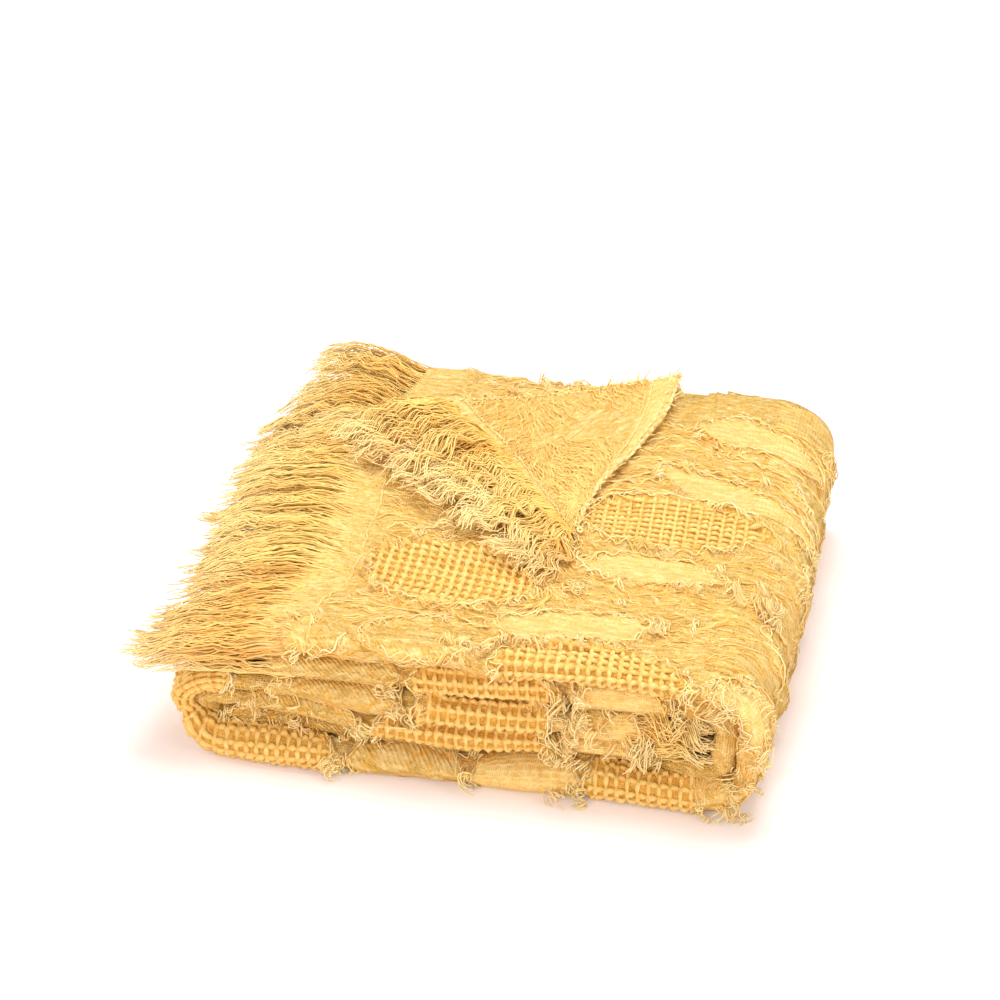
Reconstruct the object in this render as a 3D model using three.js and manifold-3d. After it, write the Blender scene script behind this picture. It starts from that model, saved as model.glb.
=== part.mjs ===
// A woven cotton throw with a long fringe on both ends, folded for a shelf.
// The cloth is pleated across its width into four plies, and that strip is then folded
// twice along its length into three levels: top, bottom and, inside them, the middle one.
// One corner of the top ply is turned forward over the stack, so its wrong side shows.
// Units are millimetres. X runs along the levels, Y from front to back, Z up from the floor.

import * as THREE from "three";
import { mergeVertices } from "three/addons/utils/BufferGeometryUtils.js";
import Module from "manifold-3d";

const wasm = await Module();
wasm.setup();

// ---- Driving dimensions ----

const CLOTH = { thickness: 3, clearance: 1.3 };
const STACK = { left: -210, right: 204, depth: 374, levelHeight: 34.4, levelGap: 3.4 };
const TURN = { innerRadius: 6, segments: 4 };
const FRINGE = {
  length: 87,
  bunchedLength: 30,
  pitch: 40,
  bunchedPitch: 130,
  thickness: 2.2,
  joint: 0.3,
  web: 6,
  toothShare: 0.9,
  toothRoot: 2.4,
  bend: 0.45,
  narrowing: 0.45,
};
const END = { outerX: -140, innerX: 132 };
const SEGMENTS = { topRun: 9, bottomRun: 7, innerTurn: 6, middleRun: 5, ply: 6, fold: 5 };

const FRONT = -STACK.depth / 2;
const BACK = STACK.depth / 2;
const HALF = CLOTH.thickness / 2;
const PLY_STEP = CLOTH.thickness + CLOTH.clearance;
const LEVEL = STACK.levelHeight;
const TOP_INNER_Z = 2 * (LEVEL + STACK.levelGap);
const TOP_Z = TOP_INNER_Z + LEVEL;

// Centre height of each ply within a level. Pairs join in rolls at the front, and the two
// middle plies join in one roll at the back, where the outer and inner plies are selvedges.
const PLIES = [
  { front: LEVEL - HALF, back: LEVEL - HALF, backInset: 2 },
  { front: (LEVEL + PLY_STEP) / 2, back: LEVEL - HALF - PLY_STEP, backInset: 0 },
  { front: (LEVEL - PLY_STEP) / 2, back: HALF + PLY_STEP, backInset: 0 },
  { front: HALF, back: HALF, backInset: 7 },
];

// How far each fringed end stands from its nominal X, by place across the pleated width:
// ply number, place from front (0) to back (1), offset at the outer and at the inner end.
const END_EDGE = [
  { ply: 0, place: 1.0, outer: 80, inner: 0 },
  { ply: 0, place: 0.76, outer: 49, inner: 4 },
  { ply: 0, place: 0.56, outer: 2, inner: 6 },
  { ply: 0, place: 0.19, outer: 11, inner: 0 },
  { ply: 0, place: 0.08, outer: -3, inner: -2 },
  { ply: 0, place: 0.0, outer: 0, inner: -4 },
  { ply: 1, place: 0.0, outer: -2, inner: -4 },
  { ply: 1, place: 0.5, outer: 3, inner: 2 },
  { ply: 1, place: 0.76, outer: 8, inner: 4 },
  { ply: 1, place: 1.0, outer: 28, inner: 6 },
  { ply: 2, place: 1.0, outer: 22, inner: 4 },
  { ply: 2, place: 0.4, outer: 5, inner: -3 },
  { ply: 2, place: 0.0, outer: 0, inner: -6 },
  { ply: 3, place: 0.0, outer: 2, inner: -5 },
  { ply: 3, place: 1.0, outer: 14, inner: 5 },
];

// Height to which each layer boundary settles, at stations along X. Every row is one station.
// Rows rise from the floor: roll F, roll E, gap, roll D, roll C, gap, roll B, roll A.
const LAYER_Z = [0, LEVEL / 2, LEVEL, LEVEL + STACK.levelGap, 1.5 * LEVEL + STACK.levelGap,
  2 * LEVEL + STACK.levelGap, TOP_INNER_Z, TOP_INNER_Z + LEVEL / 2, TOP_Z];
const SETTLED = [
  { x: -234, heights: [0, 23, 33, 36, 50, 60, 64, 70, 84] },
  { x: -190, heights: [0, 24, 34, 38, 52, 67, 71, 83, 99] },
  { x: -130, heights: [0, 24, 33, 40, 53, 68, 72, 86, 107] },
  { x: -60, heights: [0, 20, 27, 31, 47, 68, 72, 90, 108] },
  { x: 0, heights: [0, 17, 24, 28, 45, 67, 71, 91, 109] },
  { x: 85, heights: [0, 24, 32, 36, 49, 70, 74, 95, 111] },
  { x: 150, heights: [0, 24, 34, 38, 53, 71, 75, 94, 109] },
  { x: 212, heights: [0, 18, 34, 38, 55, 71, 75, 91, 105] },
];

// How far the front of each roll stands out, from roll F at the floor to roll A on top.
const ROLL_Z = [0.25, 0.75, 1.3, 1.8, 2.4, 2.9].map((levels) => levels * LEVEL);
const ROLL_REACH = [
  { x: -212, reach: [6, -8, -4, 0, 4, 5] },
  { x: -120, reach: [11, -12, 1, -1, 1, -3] },
  { x: -20, reach: [5, -20, 3, 3, 0, -2] },
  { x: 80, reach: [2, -22, -1, 2, -3, 1] },
  { x: 150, reach: [3, -14, -6, -2, -4, 2] },
  { x: 212, reach: [2, -4, -6, 4, 2, -8] },
];

// Swell of the whole stack, as a share of the height, front to back and left to right.
const SWELL_X = [-225, -170, -110, 0, 120, 212];
const SWELL = [
  { y: FRONT, share: [-0.06, -0.03, -0.01, 0, 0, -0.03] },
  { y: -60, share: [-0.02, 0, 0, 0.01, 0.02, 0] },
  { y: 60, share: [0.04, 0.04, 0.02, 0, 0.02, 0.01] },
  { y: 124, share: [0.09, 0.16, 0.05, 0.01, 0.03, 0.01] },
  { y: BACK, share: [0.13, 0.28, 0.08, 0.01, 0.04, 0.01] },
];

// Sideways lean of the stack with height, and its skew from front to back.
const LEAN = [{ z: 0, shift: 4 }, { z: 35, shift: 0 }, { z: 80, shift: 2 }, { z: 112, shift: 0 }];
const SKEW = [{ y: FRONT, shift: -3 }, { y: 0, shift: 2 }, { y: BACK, shift: 0 }];

// How much the clumps of a fringe differ in length and sway, and how fast that runs along it.
const UNEVEN = { length: 0.06, sway: 0.12, perStation: 2.4, perTooth: 1.9 };

// The turned corner: its ridge runs from the fringed end to the back selvedge.
const CORNER = {
  ridgeEnd: new THREE.Vector2(-91, 98),
  ridgeBack: new THREE.Vector2(84, 184),
  tip: new THREE.Vector2(45, -40),
  ridgeRadius: [10.5, 5],
  sag: 3,
  halfTurnSteps: 6,
  tab: 16,
  thinning: 0.3,
  cut: 8,
  cutReach: 160,
  endClearance: 14,
  rest: 1,
  rows: [0.12, 0.26, 0.42, 0.58, 0.74, 0.88, 0.97],
  columns: 8,
  fringe: {
    teeth: 9,
    length: 66,
    turnFrom: 185,
    turnTo: 262,
    edgeShare: [0.02, 0.98],
    toothShare: [0.12, 0.88],
    webStart: 2,
    toothStart: 4,
    bend: 0.5,
    narrowing: 0.3,
    uneven: 0.1,
    unevenPerTooth: 3.1,
  },
};

const COLOURS = { cloth: 0xe9b951, fringe: 0xecc264 };

// ---- Small helpers ----

const ease = (share) => share * share * (3 - 2 * share);

/** Eased value between the rows of a table, held beyond its ends. */
function tableValue(keys, values, at) {
  const last = keys.length - 1;
  if (at <= keys[0]) return values[0];
  if (at >= keys[last]) return values[last];
  const next = keys.findIndex((key) => key > at);
  const share = (at - keys[next - 1]) / (keys[next] - keys[next - 1]);
  return THREE.MathUtils.lerp(values[next - 1], values[next], ease(share));
}

/** Straight-line value between rising keys, carried on beyond its ends. */
function straightValue(keys, values, at) {
  const found = keys.findIndex((key) => key > at);
  const next = found < 0 ? keys.length - 1 : Math.max(found, 1);
  const share = (at - keys[next - 1]) / (keys[next] - keys[next - 1]);
  return THREE.MathUtils.lerp(values[next - 1], values[next], share);
}

/** Moves a point of the tidy stack to where the soft, uneven stack has it. */
function settle(point) {
  const { x, y, z } = point;
  const heights = LAYER_Z.map((_, layer) =>
    tableValue(SETTLED.map((row) => row.x), SETTLED.map((row) => row.heights[layer]), x));
  const swells = SWELL.map((row) => tableValue(SWELL_X, row.share, x));
  const swell = straightValue(SWELL.map((row) => row.y), swells, y);
  const reaches = ROLL_Z.map((_, roll) =>
    tableValue(ROLL_REACH.map((row) => row.x), ROLL_REACH.map((row) => row.reach[roll]), x));
  const frontShare = THREE.MathUtils.clamp((BACK - y) / STACK.depth, 0, 1);
  const lean = tableValue(LEAN.map((row) => row.z), LEAN.map((row) => row.shift), z);
  const skew = tableValue(SKEW.map((row) => row.y), SKEW.map((row) => row.shift), y);
  return new THREE.Vector3(
    x + lean + skew,
    y - tableValue(ROLL_Z, reaches, z) * frontShare,
    straightValue(LAYER_Z, heights, z) * (1 + swell),
  );
}

/** Closed slab between two grids of points, `face` on one side and `back` on the other. */
function slabGeometry(face, back) {
  const rows = face.length;
  const columns = face[0].length;
  const positions = [...face.flat(), ...back.flat()].flatMap((point) => point.toArray());
  const at = (side, row, column) => side * rows * columns + row * columns + column;
  const index = [];
  const quad = (a, b, c, d) => index.push(a, b, c, a, c, d);
  for (let row = 0; row + 1 < rows; row += 1) {
    for (let column = 0; column + 1 < columns; column += 1) {
      quad(at(0, row, column), at(0, row + 1, column), at(0, row + 1, column + 1), at(0, row, column + 1));
      quad(at(1, row, column), at(1, row, column + 1), at(1, row + 1, column + 1), at(1, row + 1, column));
    }
  }
  for (let row = 0; row + 1 < rows; row += 1) {
    const end = columns - 1;
    quad(at(0, row, 0), at(1, row, 0), at(1, row + 1, 0), at(0, row + 1, 0));
    quad(at(0, row, end), at(0, row + 1, end), at(1, row + 1, end), at(1, row, end));
  }
  for (let column = 0; column + 1 < columns; column += 1) {
    const end = rows - 1;
    quad(at(0, 0, column), at(0, 0, column + 1), at(1, 0, column + 1), at(1, 0, column));
    quad(at(0, end, column), at(1, end, column), at(1, end, column + 1), at(0, end, column + 1));
  }
  const geometry = new THREE.BufferGeometry();
  geometry.setAttribute("position", new THREE.Float32BufferAttribute(positions, 3));
  geometry.setIndex(index);
  return facingOut(geometry);
}

/** The same closed geometry with its faces pointing out. */
function facingOut(geometry) {
  const position = geometry.getAttribute("position");
  const index = Array.from(geometry.getIndex().array);
  const corner = [new THREE.Vector3(), new THREE.Vector3(), new THREE.Vector3()];
  let volume = 0;
  for (let start = 0; start < index.length; start += 3) {
    corner.forEach((point, which) => point.fromBufferAttribute(position, index[start + which]));
    volume += corner[0].dot(corner[1].clone().cross(corner[2]));
  }
  if (volume < 0) {
    for (let start = 0; start < index.length; start += 3) {
      [index[start], index[start + 1]] = [index[start + 1], index[start]];
    }
    geometry.setIndex(index);
  }
  return geometry;
}

/** A closed geometry as a solid that can be cut and joined. */
function solidOf(geometry) {
  const bare = geometry.clone();
  bare.deleteAttribute("normal");
  bare.deleteAttribute("uv");
  const merged = mergeVertices(bare, 1e-4);
  return new wasm.Manifold(new wasm.Mesh({
    numProp: 3,
    vertProperties: new Float32Array(merged.getAttribute("position").array),
    triVerts: new Uint32Array(merged.getIndex().array),
  }));
}

/** A solid back as a geometry, each of its points moved by `place`. */
function geometryOf(solid, place = (point) => point) {
  const mesh = solid.getMesh();
  const positions = [];
  for (let start = 0; start < mesh.vertProperties.length; start += mesh.numProp) {
    const [x, y, z] = mesh.vertProperties.slice(start, start + 3);
    positions.push(...place(new THREE.Vector3(x, y, z)).toArray());
  }
  const geometry = new THREE.BufferGeometry();
  geometry.setAttribute("position", new THREE.Float32BufferAttribute(positions, 3));
  geometry.setIndex(Array.from(mesh.triVerts));
  geometry.computeVertexNormals();
  return geometry;
}

/** A solid of the tidy stack, settled into the soft and uneven one. */
const settled = (solid) => solidOf(geometryOf(solid, settle));

const joined = (solids) => solids.reduce((whole, next) => whole.add(next));

// ---- The pleated strip ----

/** Centre height of a ply at a place from the front (0) to the back (1). */
const plyHeight = (ply, place) => THREE.MathUtils.lerp(PLIES[ply].front, PLIES[ply].back, ease(place));

/** Section across the width: plies and folds as stations of ply, place, y and height. */
function pleatSection() {
  const stations = [];
  PLIES.forEach((row, ply) => {
    const towardFront = ply % 2 === 0;
    const pair = towardFront ? ply + 1 : ply - 1;
    const frontRadius = Math.abs(row.front - PLIES[pair].front) / 2;
    const backRadius = ply === 1 || ply === 2 ? (PLIES[1].back - PLIES[2].back) / 2 : 0;
    const front = FRONT + frontRadius;
    const back = BACK - backRadius - row.backInset;
    for (let step = 0; step <= SEGMENTS.ply; step += 1) {
      const share = step / SEGMENTS.ply;
      const place = towardFront ? 1 - share : share;
      const y = THREE.MathUtils.lerp(front, back, place);
      stations.push({ along: widthPlace(ply, place), y, height: plyHeight(ply, place) });
    }
    if (ply === PLIES.length - 1) return;
    const place = towardFront ? 0 : 1;
    const upper = plyHeight(ply, place);
    const lower = plyHeight(ply + 1, place);
    const radius = (upper - lower) / 2;
    const centreY = towardFront ? front : back;
    for (let step = 1; step < SEGMENTS.fold; step += 1) {
      const turn = Math.PI * step / SEGMENTS.fold;
      const outward = (towardFront ? -1 : 1) * radius * Math.sin(turn);
      const height = (upper + lower) / 2 + radius * Math.cos(turn);
      stations.push({ along: 2 * ply + 1 + step / SEGMENTS.fold, y: centreY + outward, height });
    }
  });
  return stations;
}

/** How far along the width a place on a ply is: each ply counts for one, each fold for one. */
const widthPlace = (ply, place) => 2 * ply + (ply % 2 === 0 ? 1 - place : place);

/** Offset of a fringed end at a place along the width, from the END_EDGE table. */
const endOffset = (along, end) =>
  tableValue(END_EDGE.map((row) => widthPlace(row.ply, row.place)), END_EDGE.map((row) => row[end]), along);

/** The section moved off its centre line by a distance, towards the right side of the cloth. */
function offsetSection(section, distance) {
  return section.map((station, at) => {
    const before = section[Math.max(at - 1, 0)];
    const after = section[Math.min(at + 1, section.length - 1)];
    const along = new THREE.Vector2(after.y - before.y, after.height - before.height).normalize();
    return { ...station, y: station.y + along.y * distance, height: station.height - along.x * distance };
  });
}

// ---- The fold path ----

/** Stations along the length: top run, right turn, bottom run, left turn, middle run. */
function foldPath() {
  const rightX = STACK.right - LEVEL - TURN.innerRadius;
  const leftRadius = STACK.levelGap / 2;
  const leftX = STACK.left + LEVEL + leftRadius;
  const upper = TOP_INNER_Z - TURN.innerRadius;
  const lower = LEVEL + TURN.innerRadius;
  const stations = [];
  const add = (x, z, angle, outer = 0, inner = 0) =>
    stations.push({ x, z, nx: Math.sin(angle), nz: Math.cos(angle), outer, inner });
  const arc = (x, z, radius, from, to, steps, first) => {
    for (let step = first; step <= steps; step += 1) {
      const angle = THREE.MathUtils.lerp(from, to, step / steps);
      add(x + radius * Math.sin(angle), z + radius * Math.cos(angle), angle);
    }
  };
  for (let step = 0; step < SEGMENTS.topRun; step += 1) {
    const share = step / SEGMENTS.topRun;
    add(THREE.MathUtils.lerp(END.outerX, rightX, share), TOP_INNER_Z, 0, 1 - share, 0);
  }
  arc(rightX, upper, TURN.innerRadius, 0, Math.PI / 2, TURN.segments, 0);
  arc(rightX, lower, TURN.innerRadius, Math.PI / 2, Math.PI, TURN.segments, 0);
  for (let step = 1; step < SEGMENTS.bottomRun; step += 1) {
    add(THREE.MathUtils.lerp(rightX, leftX, step / SEGMENTS.bottomRun), LEVEL, Math.PI);
  }
  arc(leftX, LEVEL + leftRadius, leftRadius, Math.PI, 2 * Math.PI, SEGMENTS.innerTurn, 0);
  for (let step = 1; step <= SEGMENTS.middleRun; step += 1) {
    const share = step / SEGMENTS.middleRun;
    add(THREE.MathUtils.lerp(leftX, END.innerX, share), LEVEL + STACK.levelGap, 0, 0, share);
  }
  return stations;
}

/** A point of the tidy stack at a path station, a section station and a step past the end. */
function stackPoint(path, station, past = 0) {
  const { along } = station;
  const shift = path.outer * endOffset(along, "outer") + path.inner * endOffset(along, "inner");
  const x = path.x + shift + past + station.height * path.nx;
  return new THREE.Vector3(x, station.y, path.z + station.height * path.nz);
}

function stripSolid() {
  const section = pleatSection();
  const side = (distance) => foldPath().map((path) =>
    offsetSection(section, distance).map((station) => stackPoint(path, station)));
  return solidOf(slabGeometry(side(HALF), side(-HALF)));
}

// ---- The turned corner ----

const RIDGE = CORNER.ridgeBack.clone().sub(CORNER.ridgeEnd);
const RIDGE_DIRECTION = RIDGE.clone().normalize();
const FORWARD = new THREE.Vector2(RIDGE_DIRECTION.y, -RIDGE_DIRECTION.x);
const REST_Z = TOP_Z + CORNER.rest + HALF;

const ridgePoint = (share, forward) =>
  CORNER.ridgeEnd.clone().addScaledVector(RIDGE, share).addScaledVector(FORWARD, forward);

/** Plan point and height of the turned cloth's centre, across the ridge and then to the tip. */
function cornerRows() {
  const columns = Array.from({ length: CORNER.columns + 1 }, (_, at) => at / CORNER.columns);
  const radius = (share) => THREE.MathUtils.lerp(...CORNER.ridgeRadius, share)
    - CORNER.sag * Math.sin(Math.PI * share) / 2;
  const baseZ = TOP_Z - HALF;
  const rows = [columns.map((share) => [ridgePoint(share, radius(share) + CORNER.tab), baseZ])];
  for (let step = 0; step <= CORNER.halfTurnSteps; step += 1) {
    const turn = Math.PI * step / CORNER.halfTurnSteps;
    rows.push(columns.map((share) => {
      const forward = radius(share) * (1 - Math.sin(turn));
      return [ridgePoint(share, forward), baseZ + radius(share) * (1 - Math.cos(turn))];
    }));
  }
  CORNER.rows.forEach((down) => rows.push(columns.map((share) => {
    const crest = baseZ + 2 * radius(share);
    const plan = ridgePoint(share, radius(share)).lerp(CORNER.tip, down);
    return [plan, THREE.MathUtils.lerp(REST_Z, crest, (1 - down) ** 2)];
  })));
  return rows.map((row) => row.map(([plan, z]) => new THREE.Vector3(plan.x, plan.y, z)));
}

/** The grid of centre points moved along its own normals. */
function offsetGrid(grid, distance) {
  return grid.map((row, i) => row.map((point, j) => {
    const down = grid[Math.min(i + 1, grid.length - 1)][j].clone().sub(grid[Math.max(i - 1, 0)][j]);
    const across = row[Math.min(j + 1, row.length - 1)].clone().sub(row[Math.max(j - 1, 0)]);
    return point.clone().addScaledVector(down.cross(across).normalize(), distance);
  }));
}

function cornerSolid() {
  const grid = cornerRows();
  const half = HALF - CORNER.thinning;
  return solidOf(slabGeometry(offsetGrid(grid, half), offsetGrid(grid, -half)));
}

/** The block that takes the turned corner out of the top ply. */
function cornerCut() {
  const past = CORNER.cutReach;
  const start = ridgePoint(0, CORNER.cut).addScaledVector(RIDGE_DIRECTION, -past);
  const finish = ridgePoint(1, CORNER.cut).addScaledVector(RIDGE_DIRECTION, past);
  const outline = new THREE.Shape([
    start,
    finish,
    finish.clone().addScaledVector(FORWARD, -2 * past),
    start.clone().addScaledVector(FORWARD, -2 * past),
  ]);
  const block = new THREE.ExtrudeGeometry(outline, { depth: LEVEL, bevelEnabled: false });
  block.translate(0, 0, TOP_Z - CLOTH.thickness - CLOTH.clearance / 2);
  return solidOf(block);
}

// ---- Fringes ----

/** Fringe comb beyond one fringed end: a thin web along the edge and a tooth for each clump. */
function endComb(path, away, length, pitch, hasFringe) {
  const section = pleatSection();
  const half = FRINGE.thickness / 2;
  const from = away * FRINGE.joint;
  const upper = offsetSection(section, half);
  const lower = offsetSection(section, -half);
  const kept = section.map((_, at) => at).filter((at) => hasFringe(section[at]));
  const web = [upper, lower].map((side) => [from, from + away * FRINGE.web].map((past) =>
    kept.map((at) => stackPoint(path, side[at], past))));
  const teeth = [];
  for (let at = 0; at + 1 < kept.length; at += 1) {
    const [a, b] = [kept[at], kept[at + 1]];
    const span = Math.hypot(section[b].y - section[a].y, section[b].height - section[a].height);
    const count = Math.round(span / pitch);
    for (let tooth = 0; tooth < count; tooth += 1) {
      const middle = (tooth + 0.5) / count;
      const width = FRINGE.toothShare / count / 2;
      const wave = Math.sin(UNEVEN.perStation * a + UNEVEN.perTooth * tooth);
      const reach = length * (1 + UNEVEN.length * wave);
      const rows = [FRINGE.toothRoot, reach * FRINGE.bend, reach].map((past) => {
        const share = past / reach;
        const taper = 1 - FRINGE.narrowing * share * share;
        return { past: from + away * past, taper, sway: UNEVEN.sway * wave * share / count };
      });
      const side = (stations) => rows.map(({ past, taper, sway }) => [-1, 1].map((edge) => {
        const place = middle + sway + edge * width * taper;
        const start = stackPoint(path, stations[a], past);
        return start.lerp(stackPoint(path, stations[b], past), place);
      }));
      teeth.push(solidOf(slabGeometry(side(upper), side(lower))));
    }
  }
  return joined([solidOf(slabGeometry(web[0], web[1])), ...teeth].map(settled));
}

/** Fringe comb of the turned corner, fanning out from its fringed edge over the stack. */
function cornerComb() {
  const fringe = CORNER.fringe;
  const { teeth, length } = fringe;
  const edge = cornerRows().slice(CORNER.halfTurnSteps + 1).map((row) => row[0]);
  const curve = new THREE.CatmullRomCurve3(edge);
  const half = FRINGE.thickness / 2;
  const place = (share, past) => {
    const degrees = THREE.MathUtils.lerp(fringe.turnFrom, fringe.turnTo, share);
    const turn = THREE.MathUtils.degToRad(degrees);
    const base = curve.getPointAt(THREE.MathUtils.clamp(share, 0, 1));
    const fall = Math.min(1, past / length);
    const z = THREE.MathUtils.lerp(base.z, REST_Z, ease(fall));
    return new THREE.Vector3(base.x + past * Math.cos(turn), base.y + past * Math.sin(turn), z);
  };
  const slab = (shares, pasts, taper) => {
    const middle = (shares[0] + shares[shares.length - 1]) / 2;
    const grid = pasts.map((past) => shares.map((share) =>
      place(middle + (share - middle) * taper(past), past)));
    return solidOf(slabGeometry(offsetGrid(grid, half), offsetGrid(grid, -half)));
  };
  const alongEdge = (at) => THREE.MathUtils.lerp(...fringe.edgeShare, at / teeth);
  const webShares = Array.from({ length: teeth + 1 }, (_, at) => alongEdge(at));
  const web = slab(webShares, [fringe.webStart, fringe.webStart + FRINGE.web], () => 1);
  const combs = Array.from({ length: teeth }, (_, tooth) => {
    const reach = length * (1 + fringe.uneven * Math.sin(fringe.unevenPerTooth * tooth));
    const shares = fringe.toothShare.map((share) => alongEdge(tooth + share));
    const pasts = [fringe.toothStart, reach * fringe.bend, reach];
    return slab(shares, pasts, (past) => 1 - fringe.narrowing * past / reach);
  });
  return joined([web, ...combs].map(settled));
}

// ---- The throw ----

function sheetMesh(name, solid, colour) {
  const material = new THREE.MeshStandardMaterial({ color: colour, roughness: 0.95, metalness: 0 });
  const mesh = new THREE.Mesh(geometryOf(solid), material);
  mesh.name = name;
  return mesh;
}

const path = foldPath();
const strip = settled(stripSolid().subtract(cornerCut()));
const isFree = (station) => station.along > 1 || station.y < CORNER.ridgeEnd.y - CORNER.endClearance;
const outerComb = endComb(path[0], -1, FRINGE.length, FRINGE.pitch, isFree);
const innerComb = endComb(path.at(-1), 1, FRINGE.bunchedLength, FRINGE.bunchedPitch, () => true);

const throwBlanket = new THREE.Group();
throwBlanket.add(
  sheetMesh("throw_cloth", strip.add(settled(cornerSolid())), COLOURS.cloth),
  sheetMesh("outer_end_fringe", outerComb, COLOURS.fringe),
  sheetMesh("inner_end_fringe", innerComb, COLOURS.fringe),
  sheetMesh("turned_corner_fringe", cornerComb(), COLOURS.fringe),
);

export default throwBlanket;
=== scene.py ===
"""Looks of a folded woven cotton throw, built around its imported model.

The throw is one jacquard cloth with a fringe on both ends. It is pleated across its width into
four plies and folded twice along its length, and the back left corner of its top ply is turned
forward. Everything soft is placed by cloth coordinates: `s` runs along the length from the outer
fringed end and `w` across the width from the outer selvedge, both in millimetres.
"""

import logging
import math
from dataclasses import dataclass, field
from enum import Enum
from typing import NamedTuple, Protocol

import bpy
import numpy as np
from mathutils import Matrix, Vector


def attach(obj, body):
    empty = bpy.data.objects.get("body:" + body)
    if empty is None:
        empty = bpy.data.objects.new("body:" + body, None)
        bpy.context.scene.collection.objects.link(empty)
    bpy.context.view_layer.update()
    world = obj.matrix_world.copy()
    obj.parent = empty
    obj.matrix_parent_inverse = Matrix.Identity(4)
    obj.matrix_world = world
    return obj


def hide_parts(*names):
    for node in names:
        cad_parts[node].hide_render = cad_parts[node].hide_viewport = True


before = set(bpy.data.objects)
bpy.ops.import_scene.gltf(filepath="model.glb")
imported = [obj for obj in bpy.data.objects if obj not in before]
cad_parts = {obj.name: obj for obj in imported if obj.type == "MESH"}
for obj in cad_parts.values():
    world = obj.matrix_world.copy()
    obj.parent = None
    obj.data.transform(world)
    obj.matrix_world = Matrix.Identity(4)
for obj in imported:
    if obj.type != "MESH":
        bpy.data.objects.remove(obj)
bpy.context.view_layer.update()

LOG = logging.getLogger("throw")
MM = 0.001
TAU = 2 * math.pi
FLOOR_CLEAR = 1.25  # Lowest a yarn's middle may lie, in millimetres.
FRIZZ_SIZE = 5  # How far apart a yarn's bends lie, in millimetres.

Array = np.ndarray
Random = np.random.Generator
Tree = bpy.types.NodeTree
Node = bpy.types.Node
Socket = bpy.types.NodeSocket
Material = bpy.types.Material
Item = bpy.types.Object


# ---------------- small helpers


def eased(share: Array) -> Array:
    """Return the share from 0 to 1 with a soft start and finish."""
    share = np.clip(share, 0.0, 1.0)
    return share * share * (3 - 2 * share)


def between(low: float, high: float, at: Array) -> Array:
    """Return 0 below `low`, 1 above `high` and an eased share between them."""
    return eased((np.asarray(at, float) - low) / (high - low))


def along_rows(keys: Array, rows: Array, at: Array, soft: bool = True) -> Array:
    """Interpolate every point's own row of values.

    Args:
        keys: Rising keys, one for each column of `rows`.
        rows: Values, one row for each point.
        at: Where to read each row.
        soft: Whether to ease between keys and hold beyond them.

    Returns:
        One value for each point.
    """
    keys = np.asarray(keys, float)
    column = np.clip(np.searchsorted(keys, at, side="right") - 1, 0, len(keys) - 2)
    share = (at - keys[column]) / (keys[column + 1] - keys[column])
    share = eased(share) if soft else share
    point = np.arange(len(at))
    return rows[point, column] * (1 - share) + rows[point, column + 1] * share


def from_table(keys: list[float], values: list, at: Array) -> Array:
    """Read a table whose rows stand at rising keys.

    Args:
        keys: The key of each row.
        values: The value, or the list of values, of each row.
        at: Where to read the table.

    Returns:
        One value, or one row of values, for each place, eased between rows.
    """
    table = np.asarray(values, float)
    flat = table.reshape(len(keys), -1)
    columns = [
        along_rows(keys, np.broadcast_to(flat[:, k], (len(at), len(keys))), at)
        for k in range(flat.shape[1])
    ]
    return columns[0] if table.ndim == 1 else np.stack(columns, axis=1)


class SmoothNoise:
    """Seeded value noise on a wrapped lattice, from -1 to 1."""

    def __init__(self, seed: int, cells: int = 128) -> None:
        """Fill the lattice from a fixed seed."""
        self.cells = cells
        self.lattice = np.random.default_rng(seed).uniform(-1, 1, (cells, cells))

    def __call__(self, u: Array, v: Array) -> Array:
        """Read the noise.

        Args:
            u: Places along the lattice's rows, in cells.
            v: Places across them, in cells.

        Returns:
            The noise at each place.
        """
        u, v = np.asarray(u, float), np.asarray(v, float)
        column, row = np.floor(u).astype(int), np.floor(v).astype(int)
        a, b = eased(u - column), eased(v - row)
        corner = [
            self.lattice[(row + i) % self.cells, (column + j) % self.cells]
            for i in (0, 1)
            for j in (0, 1)
        ]
        low = corner[0] * (1 - a) + corner[1] * a
        high = corner[2] * (1 - a) + corner[3] * a
        return low * (1 - b) + high * b


def unit(vectors: Array) -> Array:
    """Return the vectors with a length of 1."""
    return vectors / (np.linalg.norm(vectors, axis=-1, keepdims=True) + 1e-9)


def linear(hex_colour: str) -> tuple[float, float, float, float]:
    """Turn an sRGB hex colour into linear RGBA."""
    parts = [int(hex_colour[k : k + 2], 16) / 255 for k in (1, 3, 5)]
    return (*[c / 12.92 if c <= 0.04045 else ((c + 0.055) / 1.055) ** 2.4 for c in parts], 1.0)


def add_node(tree: Tree, kind: str, settings: dict | None = None,
             inputs: dict | None = None) -> Node:
    """Add a node with its settings and links.

    Args:
        tree: The node tree.
        kind: The node's type name.
        settings: Node properties by name.
        inputs: Values, sockets or nodes by input name or number. A node is linked by the first
            of its outputs that is in use.

    Returns:
        The new node.
    """
    node = tree.nodes.new(kind)
    for name, value in (settings or {}).items():
        setattr(node, name, value)
    for key, value in (inputs or {}).items():
        if isinstance(value, Node):
            value = next(socket for socket in value.outputs if socket.enabled)
        if isinstance(value, Socket):
            tree.links.new(value, node.inputs[key])
        else:
            node.inputs[key].default_value = value
    return node


def empty_tree(owner: Material | bpy.types.World) -> Tree:
    """Give a material or a world an empty node tree.

    Args:
        owner: The material or world.

    Returns:
        Its node tree.
    """
    owner.use_nodes = True
    owner.node_tree.nodes.clear()
    return owner.node_tree


def linked(name: str, data: bpy.types.ID) -> Item:
    """Put a mesh, lamp or camera into the scene.

    Args:
        name: The object's name.
        data: The mesh, lamp or camera.

    Returns:
        The object.
    """
    item = bpy.data.objects.new(name, data)
    bpy.context.scene.collection.objects.link(item)
    return item


# ---------------- finishes


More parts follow.
